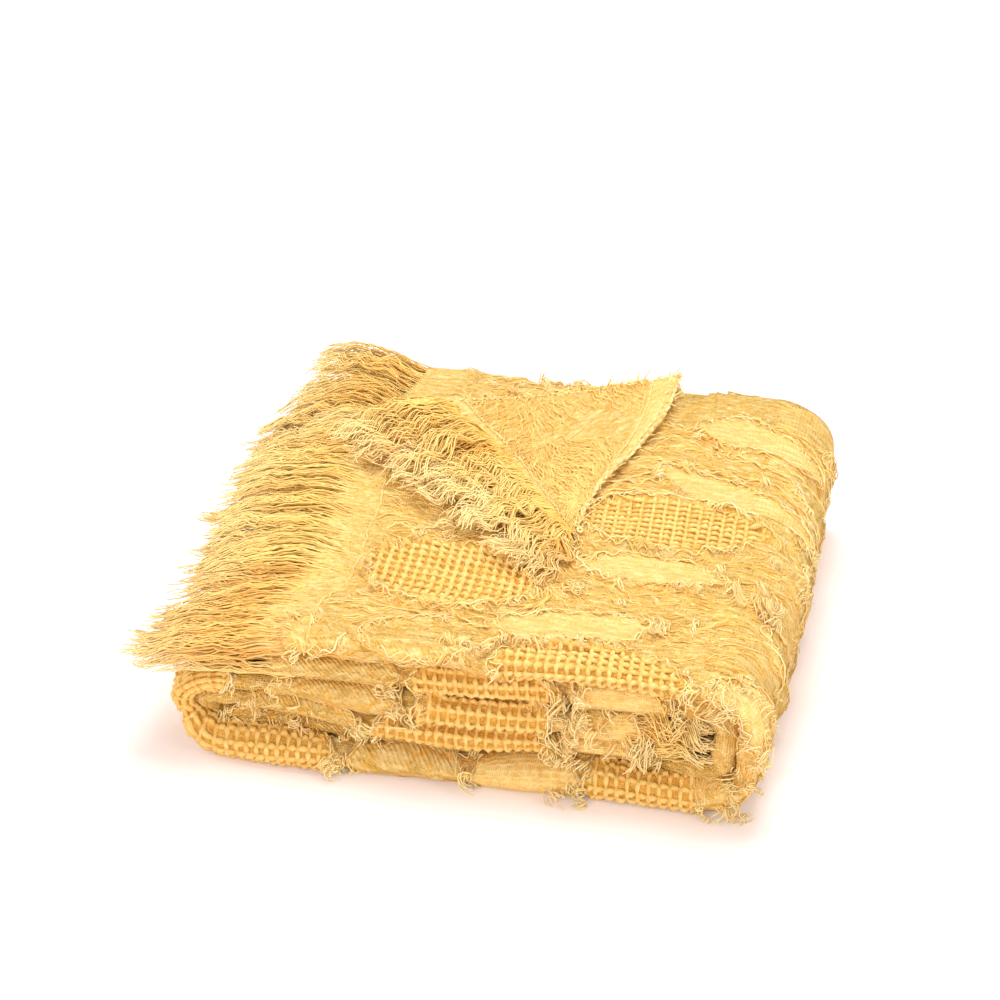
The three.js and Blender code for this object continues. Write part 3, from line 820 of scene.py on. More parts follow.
class ClothSurface:
    """The cloth's surface in the stack: where it lies and how it rises over its pattern."""

    def __init__(self, stack: FoldedStack) -> None:
        """Prepare the noises and the leaves.

        Args:
            stack: The folded stack that carries the cloth.
        """
        self.stack = stack
        self.leaves = front_leaves(stack)
        self.broad = SmoothNoise(11)
        self.crease = SmoothNoise(23)
        self.fine = SmoothNoise(31)

    def freedom(self, s: Array, w: Array) -> Array:
        """Work out how freely the cloth may rise: fully where it shows, little in the stack.

        Args:
            s: Places along.
            w: Places across.

        Returns:
            Shares of the relief, negative on the bare strip, where the cloth shows its wrong side.
        """
        outer, _, inner = self.stack.fold_w
        length = self.stack.length
        bottom_level = between(430, 450, s) * (1 - between(770, 790, s))
        hidden = np.maximum(bottom_level, between(790, 830, s)) * (1 - between(outer - 60, outer - 34, w))
        top_ply = (1 - between(outer + 24, outer + 44, w)) * (1 - 0.75 * hidden)
        roll = between(inner - 44, inner - 24, w) * (1 - between(inner + 24, inner + 44, w))
        selvedge = between(self.stack.width - 30, self.stack.width, w) * 0.3
        ends = np.clip(np.minimum(s + 20, length - s + 20) / 30, 0.2, 1)
        on_floor = between(380, 404, s) * (1 - between(745, 762, s))
        on_floor = on_floor * (1 - between(outer - 16, outer + 2, w))
        free = np.clip(np.maximum(top_ply, np.maximum(roll * 0.9, selvedge)), 0.16, 1)
        strip = self.bare(s, w)
        free = free * (1 - strip) - 0.6 * strip
        return free * ends * (1 - on_floor)

    def relief(self, s: Array, w: Array) -> Array:
        """Shape the cloth: broad swells, washed-in ridges, leaves and the grooves around them.

        Args:
            s: Places along.
            w: Places across.

        Returns:
            Heights of the cloth's middle over its smooth place, in millimetres.
        """
        s, w = np.broadcast_arrays(np.asarray(s, float), np.asarray(w, float))
        height = 1.5 * self.broad(s / 66 + 3.1, w / 44) + 0.9 * self.broad(s / 31, w / 22 + 5)
        ridge = 1 - np.abs(self.crease(s / 46 + w / 130, w / 15 + s / 90))
        crinkle = 1 - np.abs(self.fine(s / 19 + 4, w / 9.5))
        rough = 2.9 * (ridge ** 3 - 0.35) + 1.6 * (crinkle ** 2 - 0.4) + 0.6 * self.fine(s / 9, w / 8)
        # The heading lies calmer than the rest, and its seam draws a groove beside it.
        heading = between(24, 38, s)
        rough = rough * (0.4 + 0.6 * heading) - 0.8 * np.exp(-((s - 33) / 2.5) ** 2)
        for leaf in self.leaves:
            _, level, calm = leaf.weave.value
            depth = leaf.inside(s, w)
            body = between(0, 6, depth)
            rough = rough * (1 - calm * body) + body * level
            edge = 3.1 + 1.2 * self.fine(s / 12 + 8, w / 12)
            height = height * (1 - 0.4 * body) + edge * np.exp(-((depth + 1.0) / 2.6) ** 2)
            height = height - 2.0 * np.exp(-((depth + 7.5) / 3.0) ** 2)
        return (height + rough) * self.freedom(s, w)

    def weaves(self, s: Array, w: Array) -> dict[str, Array]:
        """Work out how much of each weave a place has.

        Args:
            s: Places along.
            w: Places across.

        Returns:
            Shares from 0 to 1 by the weave's name; the heading counts as mostly plain.
        """
        shares = {weave.label: np.zeros(len(s)) for weave in Weave}
        for leaf in self.leaves:
            held = shares[leaf.weave.label]
            np.maximum(held, between(-0.5, 2.5, leaf.inside(s, w)), out=held)
        plain = shares[Weave.PLAIN.label]
        np.maximum(plain, 0.6 * (1 - between(26, 40, s)), out=plain)
        return shares

    def bare(self, s: Array, w: Array) -> Array:
        """Return how surely a place is on the strip behind the turned corner, wrong side up."""
        behind = 0.9 * (89 - np.abs(w - self.stack.fold_w[1])) - 0.44 * (s - 49)
        return between(0, 8, behind) * between(20, 34, s)

    def at(self, s: Array, w: Array, lift: Array | float) -> Array:
        """Return places `lift` over the cloth's middle, in millimetres."""
        return self.stack.place(s, w, self.relief(s, w) + lift)

    def side(self, s: Array, w: Array) -> Array:
        """Return which side of the cloth shows: 1 for the right side, -1 for the wrong one."""
        return np.where(self.bare(s, w) > 0.5, -1.0, 1.0)

    def over(self, s: Array, w: Array, lift: Array | float) -> Array:
        """Return places `lift` over whichever side of the cloth shows, in millimetres."""
        return self.at(s, w, self.side(s, w) * lift)

    def frame_at(self, s: Array, w: Array, lift: float) -> tuple[Array, ...]:
        """Find places on the side of the cloth that shows, with their directions.

        Args:
            s: Places along.
            w: Places across.
            lift: Height over the cloth's middle, in millimetres.

        Returns:
            The places, and the directions along, across and out of the cloth there.
        """
        near, place = 1.5, self.stack.place
        along = unit(place(s + near, w, lift) - place(s - near, w, lift))
        across = unit(place(s, w + near, lift) - place(s, w - near, lift))
        out = unit(np.cross(across, along)) * self.side(s, w)[..., None]
        return self.over(s, w, lift), along, across, out


# ---------------- meshes and yarn


def mesh_object(name: str, verts: Array, faces: Array, material: Material,
                cloth: Array, weaves: dict[str, Array]) -> Item:
    """Make a mesh object from places in millimetres.

    Args:
        name: The object's name.
        verts: Places in millimetres.
        faces: Vertex numbers of quads.
        material: The finish.
        cloth: Cloth coordinates of each vertex in millimetres, for the UV map.
        weaves: Share of each weave at each vertex, by attribute name.

    Returns:
        The object, linked to the scene.
    """
    mesh = bpy.data.meshes.new(name)
    mesh.from_pydata((verts * MM).tolist(), [], faces.tolist())
    mesh.materials.append(material)
    mesh.polygons.foreach_set("use_smooth", np.ones(len(mesh.polygons), bool))
    layer = mesh.uv_layers.new(name="cloth")
    corner = np.empty(len(mesh.loops), int)
    mesh.loops.foreach_get("vertex_index", corner)
    layer.data.foreach_set("uv", (cloth[corner] * MM).ravel())
    for label, values in weaves.items():
        mesh.attributes.new(label, "FLOAT", "POINT").data.foreach_set("value", values)
    mesh.update()
    return linked(name, mesh)


@dataclass
class YarnBundle:
    """Strands of yarn gathered before they are turned into tubes."""

    paths: list[Array] = field(default_factory=list)
    radii: list[Array] = field(default_factory=list)
    tones: list[Array] = field(default_factory=list)
    tips: list[Array] = field(default_factory=list)

    def add(self, paths: Array, radius: Array | float, tone: Array | float,
            tip: Array | float) -> None:
        """Add strands, held clear of the floor.

        Args:
            paths: Places in millimetres, strand by strand and point by point.
            radius: Yarn radius in millimetres.
            tone: Tone from deep (0) to plain (1).
            tip: Share of the frayed tip's paleness.
        """
        shape = paths.shape[:2]
        paths[..., 2] = np.maximum(paths[..., 2], FLOOR_CLEAR)
        self.paths.append(paths)
        for store, value in ((self.radii, radius), (self.tones, tone), (self.tips, tip)):
            store.append(np.broadcast_to(value, shape))

    def build(self, name: str, tree: Tree, material: Material, sides: int, frizz: float) -> Item:
        """Turn the strands into one mesh of tubes.

        Args:
            name: The piece's name.
            tree: The yarn node tree.
            material: The yarn's finish.
            sides: Sides of each tube.
            frizz: How far the yarn wanders off its line, in millimetres.

        Returns:
            The finished object.
        """
        verts, edges, start = [], [], 0
        for paths in self.paths:
            count, points, _ = paths.shape
            verts.append(paths.reshape(-1, 3))
            number = start + np.arange(count * points).reshape(count, points)
            edges.append(np.stack([number[:, :-1].ravel(), number[:, 1:].ravel()], axis=1))
            start += count * points
        mesh = bpy.data.meshes.new(name)
        mesh.from_pydata((np.concatenate(verts) * MM).tolist(), np.concatenate(edges).tolist(), [])
        for label, store in (("radius_m", self.radii), ("tone", self.tones), ("tip", self.tips)):
            values = np.concatenate([row.ravel() for row in store])
            values = values * MM if label == "radius_m" else values
            mesh.attributes.new(label, "FLOAT", "POINT").data.foreach_set("value", values)
        guide = linked(name + "_guide", mesh)
        modifier = guide.modifiers.new("yarn", "NODES")
        modifier.node_group = tree
        sockets = {item.name: item.identifier for item in tree.interface.items_tree}
        modifier[sockets["Sides"]] = sides
        modifier[sockets["Frizz"]] = frizz * MM
        modifier[sockets["Finish"]] = material
        depsgraph = bpy.context.evaluated_depsgraph_get()
        tubes = bpy.data.meshes.new_from_object(guide.evaluated_get(depsgraph))
        guide.modifiers.clear()
        bpy.data.objects.remove(guide)
        bpy.data.meshes.remove(mesh)
        tubes.name = name
        LOG.info("%s: %d triangles", name, sum(len(p.vertices) - 2 for p in tubes.polygons))
        return linked(name, tubes)


class Maker(Protocol):
    """Part of a piece of yarn."""

    def fill(self, yarn: YarnBundle) -> None:
        """Add its strands to a bundle."""


def yarn_tree() -> Tree:
    """Build the node tree that turns lines into tubes of yarn with a little frizz.

    Returns:
        The tree, with inputs for a tube's sides, its frizz and its finish.
    """
    tree = bpy.data.node_groups.new("yarn", "GeometryNodeTree")
    face = tree.interface
    face.new_socket("Lines", in_out="INPUT", socket_type="NodeSocketGeometry")
    for label, kind, value in (
        ("Sides", "NodeSocketInt", 3),
        ("Frizz", "NodeSocketFloat", 0.0),
        ("Finish", "NodeSocketMaterial", None),
    ):
        socket = face.new_socket(label, in_out="INPUT", socket_type=kind)
        if value is not None:
            socket.default_value = value
    face.new_socket("Yarn", in_out="OUTPUT", socket_type="NodeSocketGeometry")
    given = tree.nodes.new("NodeGroupInput").outputs
    radius = add_node(tree, "GeometryNodeInputNamedAttribute", {"data_type": "FLOAT"}, {"Name": "radius_m"})
    position = add_node(tree, "GeometryNodeInputPosition")
    noise = add_node(tree, "ShaderNodeTexNoise", None, {
        "Vector": position, "Scale": 1 / (FRIZZ_SIZE * MM), "Detail": 1.0})
    centred = add_node(tree, "ShaderNodeVectorMath", {"operation": "SUBTRACT"}, {
        0: noise.outputs["Color"], 1: (0.5, 0.5, 0.5)})
    moved = add_node(tree, "ShaderNodeVectorMath", {"operation": "SCALE"}, {
        0: centred, "Scale": given["Frizz"]})
    shifted = add_node(tree, "GeometryNodeSetPosition", None, {
        "Geometry": given["Lines"], "Offset": moved})
    line = add_node(tree, "GeometryNodeMeshToCurve", None, {"Mesh": shifted})
    ring = add_node(tree, "GeometryNodeCurvePrimitiveCircle", None, {
        "Resolution": given["Sides"], "Radius": 1.0})
    tube = add_node(tree, "GeometryNodeCurveToMesh", None, {
        "Curve": line, "Profile Curve": ring,
        "Scale": radius, "Fill Caps": True})
    smooth = add_node(tree, "GeometryNodeSetShadeSmooth", None, {"Geometry": tube})
    whole = add_node(tree, "GeometryNodeRealizeInstances", None, {"Geometry": smooth})
    dressed = add_node(tree, "GeometryNodeSetMaterial", None, {
        "Geometry": whole, "Material": given["Finish"]})
    add_node(tree, "NodeGroupOutput", None, {"Yarn": dressed})
    return tree


# ---------------- the cloth itself


def thin_shell(upper: Array, lower: Array, cloth: Array, kept: Array) -> tuple[Array, Array, Array]:
    """Close two matching grids of points into one thin shell.

    Args:
        upper: Points of the side that faces out.
        lower: Points of the other side.
        cloth: Values that belong to each point of a grid.
        kept: Which cells of the grid are cloth.

    Returns:
        The points used, their values and the faces.
    """
    rows, columns = upper.shape[:2]
    below = rows * columns
    number = np.arange(below).reshape(rows, columns)
    a, b, c, d = number[:-1, :-1], number[1:, :-1], number[1:, 1:], number[:-1, 1:]
    faces = [np.stack([a, d, c, b], -1)[kept], (np.stack([a, b, c, d], -1) + below)[kept]]
    padded = np.pad(kept, 1)
    inner = padded[1:-1, 1:-1]
    for near, first, last in (
        (padded[:-2, 1:-1], a, d), (padded[2:, 1:-1], c, b),
        (padded[1:-1, :-2], b, a), (padded[1:-1, 2:], d, c),
    ):
        rim = inner & ~near
        faces.append(np.stack([last, first, first + below, last + below], -1)[rim])
    used, joined = np.unique(np.concatenate(faces), return_inverse=True)
    points = np.concatenate([upper.reshape(below, 3), lower.reshape(below, 3)])[used]
    return points, np.tile(cloth.reshape(below, -1), (2, 1))[used], joined.reshape(-1, 4)


@dataclass
class TurnedCorner:
    """The back left corner of the top ply, turned forward with its wrong side up.

    Its places are a share along the ridge, from the fringed end (0) to the back (1), and a way
    down: -1 at the end of its tab, `roll_from` where the roll starts, 0 on the crest, 1 at the tip.
    """

    surface: ClothSurface
    ridge_end: tuple[float, float] = (-91.0, 98.0)
    ridge_back: tuple[float, float] = (84.0, 184.0)
    tip: tuple[float, float] = (45.0, -40.0)
    radii: tuple[float, float] = (10.5, 5.0)
    sag: float = 3.0
    tab: float = 14.0
    cut: float = 8.0
    rest: float = 1.0
    hollow: float = 10.0
    roll_from: float = -0.7

    def __post_init__(self) -> None:
        """Work out the ridge's directions."""
        start, end = np.array(self.ridge_end), np.array(self.ridge_back)
        self.ridge = end - start
        self.direction = self.ridge / np.linalg.norm(self.ridge)
        self.forward = np.array([self.direction[1], -self.direction[0]])

    def is_turned(self, x: Array, y: Array) -> Array:
        """Return whether a plan place of the top ply lies behind the line where it is turned."""
        ahead = (x - self.ridge_end[0]) * self.forward[0] + (y - self.ridge_end[1]) * self.forward[1]
        return ahead < self.cut

    def tidy(self, share: Array, down: Array) -> Array:
        """Return tidy places of the turned cloth's middle.

        Args:
            share: Places along the ridge.
            down: Places down from it.

        Returns:
            Places in millimetres.
        """
        radius = self.radii[0] + (self.radii[1] - self.radii[0]) * share
        radius = radius - self.sag * np.sin(math.pi * share) / 2
        base = SIZES.top - HALF
        turn = np.clip((down - self.roll_from) / -self.roll_from, 0, 1) * math.pi
        tab = np.clip((self.roll_from - down) / (1 + self.roll_from), 0, 1) * self.tab
        fall = np.clip(down, 0, 1)
        forward = radius * (1 - np.sin(turn)) + tab
        height = base + radius * (1 - np.cos(turn))
        plan = self.ridge_end + share[..., None] * self.ridge + forward[..., None] * self.forward
        plan = plan + (np.array(self.tip) - plan) * fall[..., None]
        # Its fringed edge is hollow and its selvedge wavers.
        bow = self.hollow * (1 - share) ** 2 * np.sin(math.pi * fall ** 0.9)
        plan = plan + bow[..., None] * np.array([0.71, 0.70])
        bow_back = share ** 3 * (7.0 * np.sin(TAU * fall) - 2.0 * np.sin(math.pi * fall))
        plan = plan + bow_back[..., None] * np.array([0.98, -0.17])
        rest = SIZES.top + self.rest + HALF
        crest = height + (rest - height) * (1 - (1 - fall) ** 2)
        return np.concatenate([plan, np.where(down > 0, crest, height)[..., None]], axis=-1)

    def relief(self, share: Array, down: Array) -> Array:
        """Shape the turned cloth: it waves, and turns up a little along its edges.

        Args:
            share: Places along the ridge.
            down: Places down from it.

        Returns:
            Heights over its smooth place, in millimetres.
        """
        noise = self.surface.broad
        wave = 1.6 * noise(share * 4.2 + 1.3, down * 2.6 + 9) + 0.8 * noise(share * 9 + 4, down * 6)
        edge = np.minimum(share, 1 - share)
        wave = wave + 1.5 * noise(down * 26, share * 3) * between(0.9, 1.0, share)
        brim = 0.8 * np.exp(-((edge - 0.02) / 0.03) ** 2) * between(0, 0.1, down)
        return wave * between(-0.5, 0.3, down) + brim

    def at(self, share: Array, down: Array, lift: Array | float = 0.0) -> Array:
        """Find settled places on the turned cloth.

        Args:
            share: Places along the ridge.
            down: Places down from it.
            lift: Height over the cloth's middle, in millimetres.

        Returns:
            Places in millimetres.
        """
        share, down = np.broadcast_arrays(np.asarray(share, float), np.asarray(down, float))
        step = 0.004
        along = self.tidy(share + step, down) - self.tidy(share - step, down)
        ahead = self.tidy(share, down + step) - self.tidy(share, down - step)
        rise = (np.asarray(lift) + self.relief(share, down))[..., None]
        lifted = self.tidy(share, down) + unit(np.cross(ahead, along)) * rise
        return self.surface.stack.settle(lifted.reshape(-1, 3)).reshape(lifted.shape)

    def cloth_place(self, share: Array, down: Array) -> Array:
        """Find the cloth coordinates that the turned cloth comes from.

        Args:
            share: Places along the ridge.
            down: Places down from it.

        Returns:
            Cloth coordinates, mirrored back over the ridge.
        """
        plan = self.tidy(share, down)[..., :2] - self.ridge_end
        along, ahead = plan @ self.direction, plan @ self.forward
        back = self.ridge_end + along[..., None] * self.direction - ahead[..., None] * self.forward
        return np.stack(self.surface.stack.on_top(back[..., 0], back[..., 1]), axis=-1)


@dataclass
class ThrowCloth:
    """The whole cloth as one closed thin sheet, with the turned corner joined on."""

    surface: ClothSurface
    corner: TurnedCorner
    thickness: float = 2.0

    def stations(self) -> Array:
        """Choose places along the length, close together where the cloth shows most.

        Returns:
            Places from the outer end to the inner end, in millimetres.
        """
        ends = [0, *self.surface.stack.turn_s]
        parts = [
            np.linspace(low, high, count, endpoint=False)
            for low, high, count in zip(ends, ends[1:], (86, 38, 56, 25))
        ]
        return np.concatenate([*parts, np.linspace(ends[-1], self.surface.stack.length, 52)])

    def rows(self) -> Array:
        """Choose places across the width, close together where the cloth shows most.

        Returns:
            Places from the outer selvedge to the inner one, in millimetres.
        """
        outer, back, inner = self.surface.stack.fold_w
        width = self.surface.stack.width
        marks = [
            (0, outer - 44, 84), (outer - 44, outer + 44, 30), (outer + 44, back - 26, 7),
            (back - 26, back + 26, 15), (back + 26, inner - 40, 7), (inner - 40, inner + 40, 26),
            (inner + 40, width, 10),
        ]
        parts = [np.linspace(low, high, count, endpoint=False) for low, high, count in marks]
        return np.concatenate([*parts, [width]])

    def build(self, material: Material) -> Item:
        """Build the sheet with its finish.

        Args:
            material: The cloth's finish.

        Returns:
            The sheet.
        """
        half, surface = self.thickness / 2, self.surface
        s, w = np.meshgrid(self.stations(), self.rows(), indexing="ij")
        on_top = (w < surface.stack.fold_w[0] - 30) & (s < surface.stack.turn_s[0])
        gone = on_top & self.corner.is_turned(s + SIZES.outer_end, SIZES.back - PLIES[0][2] - w)
        kept = ~(gone[:-1, :-1] | gone[1:, :-1] | gone[1:, 1:] | gone[:-1, 1:])
        points, cloth, faces = thin_shell(
            surface.at(s, w, half), surface.at(s, w, -half), np.stack([s, w], -1), kept)
        own = surface.weaves(*cloth.T)

        share, down = np.meshgrid(np.linspace(0, 1, 56), self.corner_rows(), indexing="ij")
        bands = np.maximum(between(0.84, 0.89, share), 1 - between(0.09, 0.13, share))
        values = np.concatenate([self.corner.cloth_place(share, down), bands[..., None]], axis=-1)
        corner_points, values, corner_faces = thin_shell(
            self.corner.at(share, down, half), self.corner.at(share, down, -half), values,
            np.ones((share.shape[0] - 1, share.shape[1] - 1), bool))
        turned = dict.fromkeys(own, np.zeros(len(values))) | {Weave.PLAIN.label: values[:, 2]}
        return mesh_object(
            "throw_sheet",
            np.concatenate([points, corner_points]),
            np.concatenate([faces, corner_faces + len(points)]),
            material,
            np.concatenate([cloth, values[:, :2]]),
            {label: np.concatenate([own[label], turned[label]]) for label in own},
        )

    def corner_rows(self) -> Array:
        """Choose places down the turned corner.

        Returns:
            Places from its tab to its blunt tip.
        """
        marks = [(-1, self.corner.roll_from, 4), (self.corner.roll_from, 0, 14), (0, 0.9, 44)]
        parts = [np.linspace(low, high, count, endpoint=False) for low, high, count in marks]
        return np.concatenate([*parts, np.linspace(0.9, 0.985, 6)])


# ---------------- cords, floats and tufts


@dataclass
class WaffleCords:
    """The raised cords that cross over a waffle leaf and leave square wells between them."""

    surface: ClothSurface
    rise: float = 1.45
    beat: float = 0.65
    shake: float = 0.25
    shortest: int = 4

    def fill(self, yarn: YarnBundle) -> None:
        """Lay the cords of every waffle leaf."""
        for leaf in filter(lambda leaf: leaf.weave is Weave.WAFFLE, self.surface.leaves):
            self._cross(yarn, leaf)

    def _cross(self, yarn: YarnBundle, leaf: Leaf) -> None:
        """Lay both sets of cords over one leaf.

        Args:
            yarn: Bundle to add to.
            leaf: The waffle leaf.
        """
        rng = np.random.default_rng(int(leaf.start[0] * 7 + leaf.start[1] * 3) % 9973)
        outline, _ = leaf.outline(4)
        (s_low, w_low), (s_high, w_high) = outline.min(0) - 2, outline.max(0) + 2
        cell_s, cell_w = leaf.cell
        for along in (True, False):
            pitch, low, high = (cell_w, w_low - 30, w_high + 30) if along else (cell_s, s_low, s_high)
            run = np.arange(s_low, s_high, cell_s / 4) if along else np.arange(w_low, w_high, cell_w / 4)
            # The two sets pass over and under each other, so one is high where the other is low.
            phase = run / (cell_s if along else cell_w) * TAU
            beat = np.cos(phase + (math.pi if along else 0))
            for line in np.arange(low, high, pitch):
                s, w = self._line(leaf, run, line, along)
                lift = self.rise + self.beat * beat + self.shake * rng.standard_normal(len(run))
                thick = leaf.cord * (1.08 if along else 1.0)
                thick = thick * (1.0 + 0.22 * beat) * rng.uniform(0.86, 1.16, len(run))
                depth = leaf.inside(s, w)
                lift = np.where(depth < 4, lift * np.clip(depth / 4, 0, 1) + 0.6, lift)
                self._add_runs(yarn, np.stack([s, w, lift, thick]), depth > 0.3, rng)

    def _line(self, leaf: Leaf, run: Array, line: float, along: bool) -> tuple[Array, Array]:
        """Draw one cord's line, tilted with its leaf and wandering a little.

        Args:
            leaf: The waffle leaf.
            run: Places along the cord.
            line: The cord's place across.
            along: Whether the cord runs along the cloth.

        Returns:
            Cloth coordinates of the cord.
        """
        still, broad = np.full_like(run, line), self.surface.broad
        s, w = (run, still) if along else (still, run)
        tilt = (leaf.end[1] - leaf.start[1]) / (leaf.end[0] - leaf.start[0])
        middle = (leaf.start[0] + leaf.end[0]) / 2
        w = w + tilt * (s - middle) if along else w
        skew = 0.0 if along else 0.05 * (w - leaf.start[1])
        s = s + skew + 0.5 * broad(s / 40 + 3, w / 34)
        return s, w + 0.8 * broad(s / 36 + 20, w / 30 + 7)

    def _add_runs(self, yarn: YarnBundle, cord: Array, inside: Array, rng: Random) -> None:
        """Add each unbroken stretch of a cord.

        Args:
            yarn: Bundle to add to.
            cord: Rows of places along and across, lift and radius.
            inside: Where the cord lies within its leaf.
            rng: Random source.
        """
        edges = np.flatnonzero(np.diff(np.concatenate([[0], inside.astype(int), [0]])))
        for first, last in zip(edges[::2], edges[1::2]):
            if last - first < self.shortest:
                continue
            s, w, lift, thick = cord[:, first:last]
            points = self.surface.over(s, w, lift)[None]
            points[..., 2] = np.maximum(points[..., 2], thick)
            # Painted shade: a cord's tone deepens where it dips and pales where it rises over the crossing
            # cord.
            tone = np.clip(0.5 + 0.4 * (lift - self.rise) + rng.normal(0, 0.1), 0, 1)
            yarn.add(points, thick[None], tone[None], 0.12)


@dataclass
class LeafEdges:
    """The puckered edge around a leaf: short floats drawn together along its outline."""

    surface: ClothSurface
    points: int = 9
    apart: float = 6.6
    seed: int = 40

    def fill(self, yarn: YarnBundle) -> None:
        """Gather the edges of every leaf."""
        for number, leaf in enumerate(self.surface.leaves):
            self._gather(yarn, leaf, np.random.default_rng(self.seed + number))

    def _gather(self, yarn: YarnBundle, leaf: Leaf, rng: Random) -> None:
        """Lay short wandering floats along one leaf's outline.

        Args:
            yarn: Bundle to add to.
            leaf: The leaf.
            rng: Random source.
        """
        line, outward = leaf.outline(2.0)
        steps = np.hypot(*np.diff(np.concatenate([line, line[:1]]), axis=0).T)
        around = np.concatenate([[0], np.cumsum(steps)])
        count = int(around[-1] / self.apart)
        start = rng.uniform(0, around[-1], count)
        length = rng.uniform(12, 26, count)
        t = np.linspace(0, 1, self.points)[None]
        at = (start[:, None] + length[:, None] * t) % around[-1]
        places = [np.interp(at, around, np.append(values, values[0])) for values in (*line.T, *outward.T)]
        wander = rng.uniform(-0.8, 3.4, (count, 1)) + 1.5 * np.sin(
            TAU * t * rng.uniform(0.8, 2.2, (count, 1)) + rng.uniform(0, 6.28, (count, 1)))
        s, w = places[0] + places[2] * wander, places[1] + places[3] * wander
        on_cloth = (s.min(axis=1) > 26) & (s.max(axis=1) < self.surface.stack.length - 3)
        on_cloth &= w.min(axis=1) > 2
        lift = 0.9 + rng.uniform(0.2, 1.8, (count, 1)) * np.sin(math.pi * t) ** 0.6
        points = self.surface.over(s[on_cloth], w[on_cloth], lift[on_cloth])
        each = (len(points), 1)
        thick = rng.uniform(0.42, 0.66, each) * np.ones(self.points)
        yarn.add(points, thick, rng.uniform(0.3, 1.0, each), rng.uniform(0, 0.9, each))


class Tangle(NamedTuple):
    """A larger tangle: its place, spread, number of locks, their length, lean and steepness."""

    s: float
    w: float
    spread: float
    locks: int
    size: float
    lean: tuple[float, float]
    rise: float


def tangles(stack: FoldedStack) -> list[Tangle]:
    """List the larger tangles.

    Args:
        stack: The folded stack.

    Returns:
        The tangles on the top, at the back and over the front rolls.
    """
    outer, back, inner = stack.fold_w
    top = stack.on_top
    ahead, forward = (1.0, 0.1), (0.3, 1.0)
    rows = [
        (*top(172, -84), 4, 13, 26, ahead, 0.8),
        (*top(-50, -30), 9, 6, 22, forward, 0.5),
        (*top(-12, -46), 9, 7, 24, forward, 0.5),
        (*top(18, -60), 9, 10, 28, forward, 0.45),
        (*top(36, -56), 7, 8, 26, ahead, 0.4),
        (104, back - 4, 9, 9, 16, (0.4, 0.5), 0.9),
        (142, back - 3, 8, 10, 17, (-0.4, 0.5), 1.0),
        (180, back - 5, 12, 7, 15, (0.4, 0.6), 0.8),
        (76, back - 30, 12, 5, 16, (0.8, 0.4), 0.4),
        (150, back - 34, 12, 5, 16, (0.8, 0.4), 0.4),
        (*top(48, -100), 8, 4, 20, ahead, 0.35),
        (*top(96, -106), 10, 4, 18, ahead, 0.35),
        (*top(146, -118), 10, 4, 18, ahead, 0.35),
        (*top(184, -30), 8, 4, 15, forward, 0.3),
        (*top(150, 60), 12, 4, 15, ahead, 0.3),
        (*top(120, 104), 12, 4, 14, ahead, 0.3),
        # Tufts that hang over the front rolls.
        (150, outer - 12, 8, 5, 20, (-0.6, 0.9), 0.35),
        (300, outer - 4, 7, 6, 22, (0.4, 0.9), 0.45),
        (318, outer - 18, 9, 4, 20, (0.4, 0.9), 0.35),
        (336, outer - 6, 8, 4, 18, (0.6, 0.8), 0.35),
        (208, inner - 4, 7, 6, 20, (0.6, 0.6), 0.6),
        (285, inner, 6, 5, 22, (0.7, 0.4), 0.6),
        (92, inner + 2, 8, 5, 18, (-0.4, 0.6), 0.5),
        (1046, outer, 7, 6, 22, (0.6, -0.4), 0.6),
        (1070, outer - 6, 8, 6, 24, (0.8, 0.2), 0.6),
        (1048, inner - 2, 7, 6, 22, (0.6, 0.4), 0.6),
        (1098, inner - 2, 7, 9, 22, (0.8, 0.3), 0.2),
        (1100, outer + 4, 7, 8, 22, (0.8, 0.3), 0.3),
        (346, outer - 22, 12, 3, 15, (0.4, 0.9), 0.25),
        (366, outer - 8, 12, 4, 16, (0.2, 0.9), 0.3),
        (386, outer - 2, 10, 5, 16, (-0.2, 0.9), 0.35),
        (934, outer, 7, 4, 18, (-0.5, 0.4), 0.5),
        (908, inner, 7, 4, 18, (-0.3, 0.5), 0.5),
        (850, outer + 6, 9, 6, 20, (-0.2, 0.9), 0.5),
        (826, outer + 10, 9, 6, 22, (0.2, 1.0), 0.5),
        (656, outer - 4, 7, 4, 18, (-0.2, -0.6), 0.6),
        (570, outer - 6, 7, 4, 18, (0.2, -0.6), 0.6),
        (490, outer - 2, 6, 4, 18, (0.3, -0.5), 0.6),
        (404, outer - 2, 6, 6, 20, (-0.5, -0.3), 0.6),
        (392, outer + 8, 7, 6, 20, (-0.4, 0.5), 0.6),
        (600, inner, 10, 4, 16, (0.4, -0.4), 0.5),
        (700, inner, 12, 4, 16, (-0.4, -0.4), 0.5),
    ]
    return [Tangle(*row) for row in rows]


